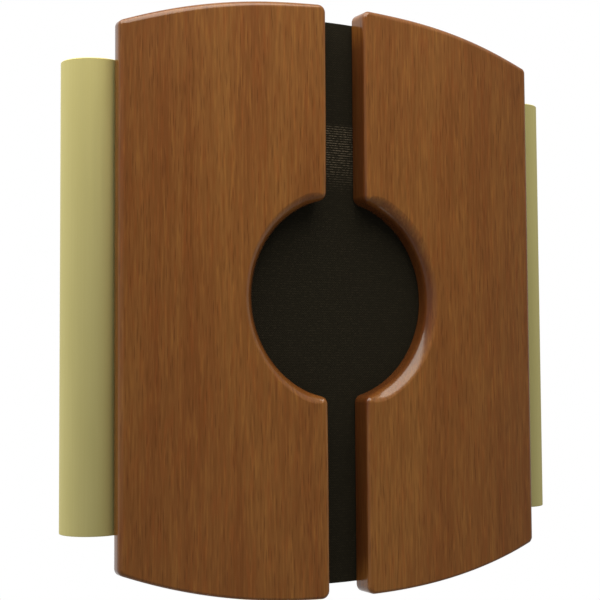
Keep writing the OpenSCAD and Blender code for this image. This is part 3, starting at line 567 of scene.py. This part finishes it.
# The outline and the edges' radii as the photograph shows them, some a little off the solids' own
RECESS_R = 36.9
END_RISE = 13.9
END_POWER = 2.34
RECESS_EDGE_R = 4.3
SLOT_EDGE_R = 1.5
ARCH_EDGE_R = 2.4
LOWER_ARCH_EDGE_R = 1.2
SIDE_EDGE_R = 1.8
SIDE_CORNER_EDGE_R = 1.8
CUSP_EDGE_R = 0.75 * CORNER_R

# Steps in each stretch of the outline
RECESS_STEPS = 44
CORNER_STEPS = 8
SLOT_STEPS = 12
ARCH_STEPS = 32
SIDE_CORNER_STEPS = 10
SIDE_STEPS = 16

# Rounds of finding where a corner meets the arch, and of evening out the edges' radii
MEETING_TRIES = 12
EVENING_TIMES = 12


def arch_z(x):
    """The height of the arched end: nearly level in the middle and falling faster to the sides."""
    return PANEL_H / 2 - END_RISE * (x / (PANEL_W / 2)) ** END_POWER


def arch_way(x):
    """The direction out of the wood on the arched end."""
    fall = END_RISE * END_POWER / (PANEL_W / 2) * (x / (PANEL_W / 2)) ** (END_POWER - 1)
    return Vector((fall, 1)).normalized()


def corner_place(x, radius):
    """Where the round of a corner between an arched end and an upright side has its centre."""
    meets = x
    for _ in range(MEETING_TRIES):
        meets = x + radius * arch_way(meets).x
    way = arch_way(meets)
    return (x, arch_z(meets) - radius * way.y), math.atan2(way.y, way.x), meets


def panel_outline():
    """The right panel's outline in X and Z: arched ends, the round recess, and its corners rounded."""
    slot_x = SLOT_W / 2 + CORNER_R
    slot_corner, slot_turn, arch_start = corner_place(slot_x, CORNER_R)
    side_corner, side_turn, arch_end = corner_place(PANEL_W / 2 - SIDE_CORNER_R, SIDE_CORNER_R)
    arch_run = [arch_start + (arch_end - arch_start) * i / ARCH_STEPS for i in range(1, ARCH_STEPS)]
    cusp_z = math.sqrt((RECESS_R + CORNER_R) ** 2 - slot_x**2)
    cusp_turn = math.atan2(cusp_z, slot_x)
    slot_l = cusp_z - slot_corner[1]
    slot_run = [slot_corner[1] + slot_l * i / SLOT_STEPS for i in range(SLOT_STEPS, 0, -1)]
    side_run = [side_corner[1] * (1 - i / SIDE_STEPS) for i in range(1, SIDE_STEPS)]
    upper = (
        turned((0, 0), RECESS_R, 0, cusp_turn, RECESS_STEPS, RECESS_EDGE_R)[1:-1]
        + turned((slot_x, cusp_z), CORNER_R, math.pi + cusp_turn, math.pi, CORNER_STEPS, CUSP_EDGE_R)
        + [(SLOT_W / 2, z, SLOT_EDGE_R) for z in slot_run[1:-1]]
        + turned(slot_corner, CORNER_R, math.pi, slot_turn, CORNER_STEPS, SLOT_EDGE_R)
        + [(x, arch_z(x), ARCH_EDGE_R) for x in arch_run]
        + turned(side_corner, SIDE_CORNER_R, side_turn, 0, SIDE_CORNER_STEPS, SIDE_CORNER_EDGE_R)
        + [(PANEL_W / 2, z, SIDE_EDGE_R) for z in side_run]
    )
    lower = [(x, -z, LOWER_ARCH_EDGE_R if r == ARCH_EDGE_R else r) for x, z, r in reversed(upper)]
    return [(RECESS_R, 0, RECESS_EDGE_R)] + upper + [(PANEL_W / 2, 0, SIDE_EDGE_R)] + lower


def evened(outline, times):
    """The outline with its edge radius running smoothly from one stretch into the next."""
    radii = [point[2] for point in outline]
    for _ in range(times):
        radii = [(radii[i - 1] + 2 * radii[i] + radii[(i + 1) % len(radii)]) / 4 for i in range(len(radii))]
    return [(x, z, r) for (x, z, _), r in zip(outline, radii)]


def inward(outline):
    """The direction into the wood at each point of the outline."""
    ways = []
    for i in range(len(outline)):
        before, after = outline[i - 1], outline[(i + 1) % len(outline)]
        ways.append(Vector((after[1] - before[1], before[0] - after[0])).normalized())
    return ways


def bowed(x):
    """How far the front has fallen back at a distance from the middle."""
    return FRONT_BOW * (x / (PANEL_W / 2)) ** 2


EDGE_STEPS = 10
EDGE_FLATNESS = 0.5
BACK_EDGE = 0.5

# The front is cut into strips of STRIP_W to take the bow. A face belongs to it when it lies
# FRONT_AHEAD of the back, and a point when it is within FRONT_NEAR of the bow.
STRIP_W = 4
FRONT_AHEAD = 4
FRONT_NEAR = 0.02

# The walls of the slot and the recess are darker, partly heavier stain and partly painted shade, less
# where they turn to the front, and more, as painted shade only, where the recess's wall faces sideways
WALL_STAIN_AND_SHADE = 1.4
FRONT_FALL = 1.5
SIDEWAYS_SHADE = 1.8
SIDEWAYS_START = 0.4


def edge_place(r, lean):
    """How far in, and how deep, an edge has got at a lean: a plain round, or flatter where it is wide."""
    flat = min(max((r - ARCH_EDGE_R) / (RECESS_EDGE_R - ARCH_EDGE_R), 0), 1)
    power = 2 / (2 - EDGE_FLATNESS * flat)
    return r * (1 - math.cos(lean) ** power), WOOD_FRONT - r * (1 - math.sin(lean) ** power)


def bow_front(piece, side):
    """Cuts the front of an open panel into strips and lays it on the bow."""
    for x in range(SLOT_W // 2, round(PANEL_W / 2) + STRIP_W, STRIP_W):
        mesh = bmesh.from_edit_mesh(piece.data)
        for face in mesh.faces:
            ahead = face.calc_center_median().y < -(WOOD_BACK + FRONT_AHEAD) * MM
            face.select_set(len(face.verts) > 4 and ahead)
        bmesh.update_edit_mesh(piece.data)
        bpy.ops.mesh.bisect(plane_co=(side * x * MM, 0, 0), plane_no=(1, 0, 0))
    mesh = bmesh.from_edit_mesh(piece.data)
    for vertex in mesh.verts:
        front = WOOD_FRONT - bowed(vertex.co.x / MM)
        if vertex.co.y < -(front - FRONT_NEAR) * MM:
            vertex.co.y = -front * MM
    bmesh.update_edit_mesh(piece.data)


def shade_and_stain_walls(piece):
    """Notes at each point of a panel how dark its walls are, with heavier stain and painted shade, for the
    material.
    """
    sawn = piece.data.attributes.new("sawn", "FLOAT", "POINT")
    recess_reach = (RECESS_R + RECESS_EDGE_R) * MM
    slot_reach = (PANEL_H / 2 - END_RISE) * MM
    for i, vertex in enumerate(piece.data.vertices):
        on_wall = abs(vertex.co.x) < recess_reach and abs(vertex.co.z) < slot_reach
        in_recess = math.hypot(vertex.co.x, vertex.co.z) < recess_reach
        # Painted shade: the recess's roundover darker where it faces sideways, away from the light
        sideways = SIDEWAYS_SHADE * max(abs(vertex.normal.x) - SIDEWAYS_START, 0) if in_recess else 0
        deep = min(max(WALL_STAIN_AND_SHADE - FRONT_FALL * abs(vertex.normal.y) + sideways, 0), 1)
        sawn.data[i].value = deep if on_wall else 0


def wooden_panel(name, side):
    """A board sawn to its outline, its front bowed and its front edges rounded over."""
    outline = evened(panel_outline(), EVENING_TIMES)
    ways = inward(outline)
    rings = [[(BACK_EDGE, WOOD_BACK)] * len(outline), [(0, WOOD_BACK + BACK_EDGE)] * len(outline)]
    for step in range(EDGE_STEPS + 1):
        rings.append([edge_place(r, math.pi / 2 * step / EDGE_STEPS) for _, _, r in outline])

    def corner(i, ring):
        inset, depth = ring[i]
        x = outline[i][0] + ways[i].x * inset
        z = outline[i][1] + ways[i].y * inset
        fall = bowed(x) if depth > WOOD_BACK + 2 * BACK_EDGE else 0
        return Vector((side * x, -(depth - fall), z)) * MM

    deselect()
    bpy.ops.mesh.primitive_circle_add(vertices=len(outline), fill_type="NGON")
    piece = added(name + "_wood")
    for i, vertex in enumerate(piece.data.vertices):
        vertex.co = corner(i, rings[0])
    open_all(piece, "FACE")
    for low, ring in zip(rings, rings[1:]):
        corners = [corner(i, low) for i in range(len(outline))]
        bpy.ops.mesh.extrude_region_move()
        mesh = bmesh.from_edit_mesh(piece.data)
        for vertex in [v for v in mesh.verts if v.select]:
            nearest = min(range(len(outline)), key=lambda i: (corners[i] - vertex.co).length_squared)
            vertex.co = corner(nearest, ring)
        bmesh.update_edit_mesh(piece.data)
    bow_front(piece, side)
    close_outward()
    smooth(piece, degrees=50)
    shade_and_stain_walls(piece)
    dress(piece, BEECH, "cover", "lacquered_beech", name)


wooden_panel("left_wood_panel", -1)
wooden_panel("right_wood_panel", 1)


# Speaker cloth, stretched over the front of its board and folded round the edge

# A hair behind the panels' back, so that no two faces share a place
CLOTH_FRONT = 50.4
CLOTH_FOLD = 0.35
CLOTH_EDGE_R = 0.3
CLOTH_COLUMNS = 40
CLOTH_ROWS = 54
SIDE_HEM = 2
END_HEM = 8


def cloth_sheet():
    deselect()
    bpy.ops.mesh.primitive_grid_add(x_subdivisions=CLOTH_COLUMNS, y_subdivisions=CLOTH_ROWS, size=2)
    piece = added("grille_cloth_sheet")
    for vertex in piece.data.vertices:
        x = vertex.co.x * (BOARD_W / 2 + CLOTH_FOLD)
        end = ARCH_CENTRE + math.sqrt((ARCH_R - BOARD_MARGIN + CLOTH_FOLD) ** 2 - x * x)
        vertex.co = Vector((x, -CLOTH_FRONT, vertex.co.y * end)) * MM
    open_edges(piece, lambda edge: edge.is_boundary)
    bpy.ops.mesh.extrude_region_move(
        TRANSFORM_OT_translate={"value": (0, (CLOTH_FRONT - BOARD_BACK + CLOTH_FOLD) * MM, 0)})
    bpy.ops.mesh.extrude_region_move()
    mesh = bmesh.from_edit_mesh(piece.data)
    for vertex in [v for v in mesh.verts if v.select]:
        vertex.co.x *= 1 - SIDE_HEM / (BOARD_W / 2)
        vertex.co.z *= 1 - END_HEM / (PANEL_H / 2)
    bmesh.update_edit_mesh(piece.data)
    close_outward()
    apply(piece, "BEVEL", width=CLOTH_EDGE_R * MM, segments=ROUND_STEPS, limit_method="ANGLE",
          angle_limit=math.radians(ROUND_DEGREES))
    smooth(piece, degrees=60)
    dress(piece, CLOTH, "cover", "speaker_cloth", "grille_cloth")


cloth_sheet()


# Side tubes

TUBE_SIDES = 128
TUBE_RIM_R = 0.3


def brass_tube(name):
    """An open-ended tube in the place of its solid, its rims rounded."""
    low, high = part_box(name)
    deselect()
    bpy.ops.mesh.primitive_cylinder_add(
        vertices=TUBE_SIDES, radius=TUBE_R * MM, depth=high.z - low.z, location=(low + high) / 2,
        end_fill_type="NOTHING")
    piece = added(name + "_brass")
    apply(piece, "SOLIDIFY", thickness=TUBE_WALL * MM, offset=-1)
    apply(piece, "BEVEL", width=TUBE_RIM_R * MM, segments=ROUND_STEPS, limit_method="ANGLE",
          angle_limit=math.radians(ROUND_DEGREES))
    smooth(piece)
    dress(piece, BRASS, "cover", "satin_brass", name)


brass_tube("left_tube")
brass_tube("right_tube")


# Pieces with the shape of their solids

for name, material, body, slot, width in (
    ("grille_board", BOARD, "cover", "black_board", 0.3),
    ("cover_case", BLACK_ABS, "cover", "black_moulding", 0.3),
    ("tube_saddles", BLACK_ABS, "cover", "black_moulding", 0.25),
    ("case_screws", ZINC, "cover", "zinc_plate", 0.15),
    ("panel_screws", ZINC, "cover", "zinc_plate", 0.15),
    ("tube_screws", ZINC, "cover", "zinc_plate", 0.15),
    ("base_plate", WHITE_ABS, "wall_unit", "white_moulding", 0.25),
    ("left_tone_bar", GROUND_STEEL, "wall_unit", "bar_steel", 0.25),
    ("right_tone_bar", GROUND_STEEL, "wall_unit", "bar_steel", 0.25),
    ("tone_bar_pins", GROUND_STEEL, "wall_unit", "bar_steel", 0.2),
    ("tone_bar_grommets", RUBBER, "wall_unit", "rubber", 0.3),
    ("pin_retainers", ZINC, "wall_unit", "zinc_plate", 0.1),
    ("front_bobbin", NYLON, "wall_unit", "nylon", 0.2),
    ("rear_bobbin", NYLON, "wall_unit", "nylon", 0.2),
    ("front_yoke", ZINC, "wall_unit", "zinc_plate", 0.2),
    ("rear_yoke", ZINC, "wall_unit", "zinc_plate", 0.2),
    ("base_screws", ZINC, "wall_unit", "zinc_plate", 0.15),
    ("terminal_block", BLACK_ABS, "wall_unit", "black_moulding", 0.25),
    ("terminal_clamps", STAMPED_BRASS, "wall_unit", "terminal_brass", 0.15),
    ("terminal_screws", STAMPED_BRASS, "wall_unit", "terminal_brass", 0.15),
    ("front_plunger_core", GROUND_STEEL, "front_plunger", "bar_steel", 0.25),
    ("rear_plunger_core", GROUND_STEEL, "rear_plunger", "bar_steel", 0.25),
    ("front_plunger_tips", NYLON, "front_plunger", "nylon", 0.25),
    ("rear_plunger_tips", NYLON, "rear_plunger", "nylon", 0.25),
):
    eased(name, material, body, slot, width)


# Wound pieces, leads and the felt pad


def wire(name, points, radius, roundness):
    """A round wire along a row of points, as a mesh with closed ends."""
    route = bpy.data.curves.new(name, "CURVE")
    route.dimensions = "3D"
    route.bevel_depth = radius * MM
    route.bevel_resolution = roundness
    route.use_fill_caps = True
    spline = route.splines.new("POLY")
    spline.points.add(len(points) - 1)
    for spot, point in zip(spline.points, points):
        spot.co = (*(Vector(point) * MM), 1)
    piece = bpy.data.objects.new(name, route)
    bpy.context.scene.collection.objects.link(piece)
    only(piece)
    bpy.ops.object.convert(target="MESH")
    open_all(piece)
    bpy.ops.mesh.remove_doubles(threshold=WIRE_JOIN * MM)
    close_outward()
    smooth(piece, degrees=60)
    return piece


SPRING_SEATS = (-32.6, -18.6)
SPRING_R = 5.6
SPRING_WIRE = 0.7
SPRING_TURNS = 5
CLOSED_TURNS = 0.75
SPRING_POINTS = 40
SPRING_ROUNDNESS = 3
# How far a closed turn rises, in thicknesses of the wire
CLOSED_RISE = 1.05


def return_spring(name, z):
    """A compression spring: open turns between a closed end turn at each seat."""
    start, end = SPRING_SEATS[0] + SPRING_WIRE / 2, SPRING_SEATS[1] - SPRING_WIRE / 2
    turns = SPRING_TURNS + 2 * CLOSED_TURNS
    closed = CLOSED_TURNS * SPRING_WIRE * CLOSED_RISE
    points = []
    for i in range(round(turns * SPRING_POINTS) + 1):
        t = i / SPRING_POINTS
        if t < CLOSED_TURNS:
            x = start + closed * t / CLOSED_TURNS
        elif t > turns - CLOSED_TURNS:
            x = end - closed * (turns - t) / CLOSED_TURNS
        else:
            x = start + closed + (end - start - 2 * closed) * (t - CLOSED_TURNS) / SPRING_TURNS
        angle = 2 * math.pi * t
        points.append((x, -AXIS_D + SPRING_R * math.cos(angle), z + SPRING_R * math.sin(angle)))
    piece = wire(name + "_wire", points, SPRING_WIRE / 2, SPRING_ROUNDNESS)
    dress(piece, DRAWN_STEEL, "wall_unit", "spring_steel", name)
    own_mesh(piece)


return_spring("front_spring", COIL_PITCH / 2)
return_spring("rear_spring", -COIL_PITCH / 2)


WINDING_R = 10.5
WINDING_CORE_R = 6.2
WINDING_HALF = 15.4
WINDING_SHOULDER_R = WINDING_R - 1
WINDING_SIDES = 72
TURN_PITCH = 0.9
TURN_POINTS = 6
# How far the hollows between the turns lie below the winding's radius, and how far the crests rise
BARE_SINK = 0.55
BARE_CREST = 0.3
TAPE_SINK = 0.12
TAPE_CREST = 0.1


def winding(name, z):
    """A wound coil, turned from its profile: bare turns at each end and tape over the rest."""
    profile = [(-WINDING_HALF, WINDING_CORE_R), (-WINDING_HALF, WINDING_SHOULDER_R)]
    rows = round(2 * WINDING_HALF / TURN_PITCH)
    for i in range(rows * TURN_POINTS + 1):
        x = -WINDING_HALF + 2 * WINDING_HALF * i / (rows * TURN_POINTS)
        crest = abs(math.sin(math.pi * i / TURN_POINTS))
        if abs(x) > TAPE_END:
            profile.append((x, WINDING_R - BARE_SINK + BARE_CREST * crest))
        else:
            profile.append((x, WINDING_R - TAPE_SINK + TAPE_CREST * crest))
    profile += [(WINDING_HALF, WINDING_SHOULDER_R), (WINDING_HALF, WINDING_CORE_R)]
    deselect()
    bpy.ops.mesh.primitive_circle_add(vertices=WINDING_SIDES, radius=1, rotation=(0, math.pi / 2, 0))
    piece = added(name + "_wound")
    open_all(piece)
    middle = Vector((0, -AXIS_D, z))
    for i, (x, radius) in enumerate(profile):
        if i:
            bpy.ops.mesh.extrude_region_move()
        mesh = bmesh.from_edit_mesh(piece.data)
        for vertex in [v for v in mesh.verts if v.select]:
            way = vertex.co - middle * MM if i else vertex.co.copy()
            way.x = 0
            vertex.co = (middle + Vector((x, 0, 0)) + way.normalized() * radius) * MM
        bmesh.update_edit_mesh(piece.data)
    close_outward()
    smooth(piece, degrees=60)
    dress(piece, WINDING, "wall_unit", "coil_tape", name)


winding("front_winding", COIL_PITCH / 2)
winding("rear_winding", -COIL_PITCH / 2)


LEAD_R = 0.8
LEAD_STEPS = 6
LEAD_ROUNDNESS = 4

# Lead routes, as points of X, depth from the wall, and Z
FRONT_ROUTE = (
    (12, 22, 11.2), (12, 21, 8), (15, 10, 3), (24, 5, 0), (33, 4, -6), (36, 4, -20), (36, 4, -36),
    (33, 4, -46), (24, 6, -50), (17, 10, -53), (14, 12.6, -56), (14, 12.6, -58.2))
REAR_ROUTE = (
    (-12, 22, -32.8), (-12, 20, -36), (-13, 12, -42), (-14, 8, -48), (-14, 10, -53), (-14, 12.6, -56),
    (-14, 12.6, -58.2))
BRIDGE_ROUTE = ((-12, 22, 11.2), (-12, 22, 6), (-12, 22, 0), (-12, 22, -6), (-12, 22, -11.2))
COMMON_ROUTE = (
    (8, 22, -32.8), (8, 20, -36), (7, 14, -42), (4, 10, -48), (1, 10.5, -53), (0, 12.6, -56),
    (0, 12.6, -58.2))


def along(route):
    """A smooth run of points through a lead's route."""
    spots = [Vector((x, -d, z)) for x, d, z in route]
    ends = [2 * spots[0] - spots[1]] + spots + [2 * spots[-1] - spots[-2]]
    run = []
    for a, b, c, d in zip(ends, ends[1:], ends[2:], ends[3:]):
        for i in range(LEAD_STEPS):
            t = i / LEAD_STEPS
            run.append(0.5 * (
                2 * b + (c - a) * t + (2 * a - 5 * b + 4 * c - d) * t**2 + (3 * b - a - 3 * c + d) * t**3))
    return run + [spots[-1]]


for name, route, material, slot, nodes in (
    ("front_lead_wire", FRONT_ROUTE, RED_PVC, "red_wire", ["front_lead"]),
    ("rear_lead_wire", REAR_ROUTE, BLUE_PVC, "blue_wire", ["rear_lead"]),
    ("bridge_lead_wire", BRIDGE_ROUTE, WHITE_PVC, "white_wire", ["common_leads"]),
    ("common_lead_wire", COMMON_ROUTE, WHITE_PVC, "white_wire", []),
):
    dress(wire(name, along(route), LEAD_R, LEAD_ROUNDNESS), material, "wall_unit", slot, *nodes)


FELT_EDGE_R = 0.7
FELT_CUTS = 5
FELT_LUMP = 1.5
FELT_UNEVENNESS = 0.2


def felt_pad():
    """The rear plunger's stop: a square of felt, its cut edges soft."""
    low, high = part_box("damper_pad")
    deselect()
    bpy.ops.mesh.primitive_cube_add(size=1, location=(low + high) / 2, scale=high - low)
    piece = added("damper_pad_felt")
    apply(piece, "BEVEL", width=FELT_EDGE_R * MM, segments=ROUND_STEPS, limit_method="ANGLE")
    open_all(piece)
    bpy.ops.mesh.subdivide(number_cuts=FELT_CUTS)
    close()
    clouds = bpy.data.textures.new("felt_unevenness", "CLOUDS")
    clouds.noise_scale = FELT_LUMP * MM
    apply(piece, "DISPLACE", texture=clouds, texture_coords="LOCAL", strength=FELT_UNEVENNESS * MM,
          mid_level=1.0)
    smooth(piece, degrees=70)
    dress(piece, FELT, "wall_unit", "felt", "damper_pad")


felt_pad()


# Light and stage

# What shines back from each side of the room, where white is 1
DIM = 0.14
BACKDROP = 1.0
LEFT_WALL = 0.38
RIGHT_WALL = 0.5
CEILING = 0.6
GROUND = 0.2

# The even light on the object, from around and above, and from below
FILL = 0.3
FILL_BELOW = 0.5

# Places and sizes in metres; the floor is far below, so that its edge doesn't show in the lacquer
FLOOR_SIZE = 1
FLOOR_Z = -3
LAMP_W = 1.1
LAMP_H = 0.72
LAMP_PLACE = (-0.2, -0.25, 0.65)

LAMP_WATTS = 13.0
LAMP_COLOUR = (1.0, 0.93, 0.83)


def studio():
    """A white room with one large soft lamp overhead, and a pale floor."""
    world = bpy.data.worlds.new("studio_world")
    world.use_nodes = True
    tree = world.node_tree
    tree.nodes.clear()
    rays = node(tree, "ShaderNodeLightPath")
    way = node(tree, "ShaderNodeTexCoord")
    parts = node(tree, "ShaderNodeSeparateXYZ", {0: way.outputs["Generated"]})
    # The white backdrop is behind the object; the walls, the ceiling and the ground are dimmer, and
    # the room is dark in front
    behind = node(tree, "ShaderNodeMath", {
        0: parts.outputs[0], 1: -0.35, 2: parts.outputs[1]}, operation="MULTIPLY_ADD")
    backdrop = node(tree, "ShaderNodeMapRange", {
        "Value": behind.outputs[0], "From Min": -0.2, "From Max": 0.8, "To Min": DIM, "To Max": BACKDROP})
    left_side = node(tree, "ShaderNodeMapRange", {
        "Value": parts.outputs[0], "From Min": 0.0, "From Max": -0.5, "To Min": DIM, "To Max": LEFT_WALL})
    above = node(tree, "ShaderNodeMapRange", {
        "Value": parts.outputs[2], "From Min": -0.4, "From Max": -0.1})
    left_wall = node(tree, "ShaderNodeMath", {
        0: left_side.outputs[0], 1: above.outputs[0]}, operation="MULTIPLY")
    ceiling = node(tree, "ShaderNodeMapRange", {
        "Value": parts.outputs[2], "From Min": 0.15, "From Max": 0.6, "To Min": DIM, "To Max": CEILING})
    ground = node(tree, "ShaderNodeMapRange", {
        "Value": parts.outputs[2], "From Min": -0.15, "From Max": -0.6, "To Min": DIM, "To Max": GROUND})
    right_wall = node(tree, "ShaderNodeMapRange", {
        "Value": parts.outputs[0], "From Min": 0.72, "From Max": 0.95, "To Min": DIM, "To Max": RIGHT_WALL})
    walls = node(tree, "ShaderNodeMath", {
        0: left_wall.outputs[0], 1: right_wall.outputs[0]}, operation="MAXIMUM")
    upright = node(tree, "ShaderNodeMath", {
        0: backdrop.outputs[0], 1: walls.outputs[0]}, operation="MAXIMUM")
    level = node(tree, "ShaderNodeMath", {0: ceiling.outputs[0], 1: ground.outputs[0]}, operation="MAXIMUM")
    room = node(tree, "ShaderNodeMath", {0: upright.outputs[0], 1: level.outputs[0]}, operation="MAXIMUM")
    soft = node(tree, "ShaderNodeMapRange", {
        "Value": parts.outputs[2], "From Min": 0.0, "From Max": -0.6, "To Min": FILL, "To Max": FILL_BELOW})
    glossy = node(tree, "ShaderNodeMix", {
        0: rays.outputs["Is Glossy Ray"], 2: soft.outputs[0], 3: room.outputs[0]}, data_type="FLOAT")
    seen = node(tree, "ShaderNodeMath", {
        0: rays.outputs["Is Camera Ray"], 1: rays.outputs["Is Transmission Ray"]}, operation="MAXIMUM")
    strength = node(tree, "ShaderNodeMix", {
        0: seen.outputs[0], 2: glossy.outputs[0], 3: 1.0}, data_type="FLOAT")
    sky = node(tree, "ShaderNodeBackground", {"Color": (1, 1, 1, 1), "Strength": strength.outputs[0]})
    node(tree, "ShaderNodeOutputWorld", {"Surface": sky.outputs[0]})
    bpy.context.scene.world = world

    deselect()
    bpy.ops.mesh.primitive_plane_add(size=FLOOR_SIZE, location=(0, 0, FLOOR_Z))
    floor = added("studio_floor")
    # The floor lights the object as a pale matt one does, and is as white as the backdrop where it shows
    pale = bpy.data.materials.new("pale_floor")
    pale.use_nodes = True
    tree = pale.node_tree
    tree.nodes.clear()
    rays = node(tree, "ShaderNodeLightPath")
    seen = node(tree, "ShaderNodeMath", {
        0: rays.outputs["Is Camera Ray"], 1: rays.outputs["Is Glossy Ray"]}, operation="MAXIMUM")
    shown = node(tree, "ShaderNodeMath", {
        0: seen.outputs[0], 1: rays.outputs["Is Transmission Ray"]}, operation="MAXIMUM")
    matt = node(tree, "ShaderNodeBsdfDiffuse", {"Color": linear("#e8e8e8")})
    white = node(tree, "ShaderNodeEmission", {"Color": (1, 1, 1, 1), "Strength": 1.0})
    surface = node(tree, "ShaderNodeMixShader", {
        0: shown.outputs[0], 1: matt.outputs[0], 2: white.outputs[0]})
    node(tree, "ShaderNodeOutputMaterial", {"Surface": surface.outputs[0]})
    floor.data.materials.append(pale)

    lamp = bpy.data.objects.new("overhead_softbox", bpy.data.lights.new("overhead_softbox", "AREA"))
    lamp.data.shape = "RECTANGLE"
    lamp.data.size = LAMP_W
    lamp.data.size_y = LAMP_H
    lamp.data.energy = LAMP_WATTS
    lamp.data.color = LAMP_COLOUR
    lamp.location = LAMP_PLACE
    lamp.rotation_euler = (-lamp.location).to_track_quat("-Z", "Y").to_euler()
    bpy.context.scene.collection.objects.link(lamp)


studio()
bpy.context.scene.view_settings.view_transform = "Standard"
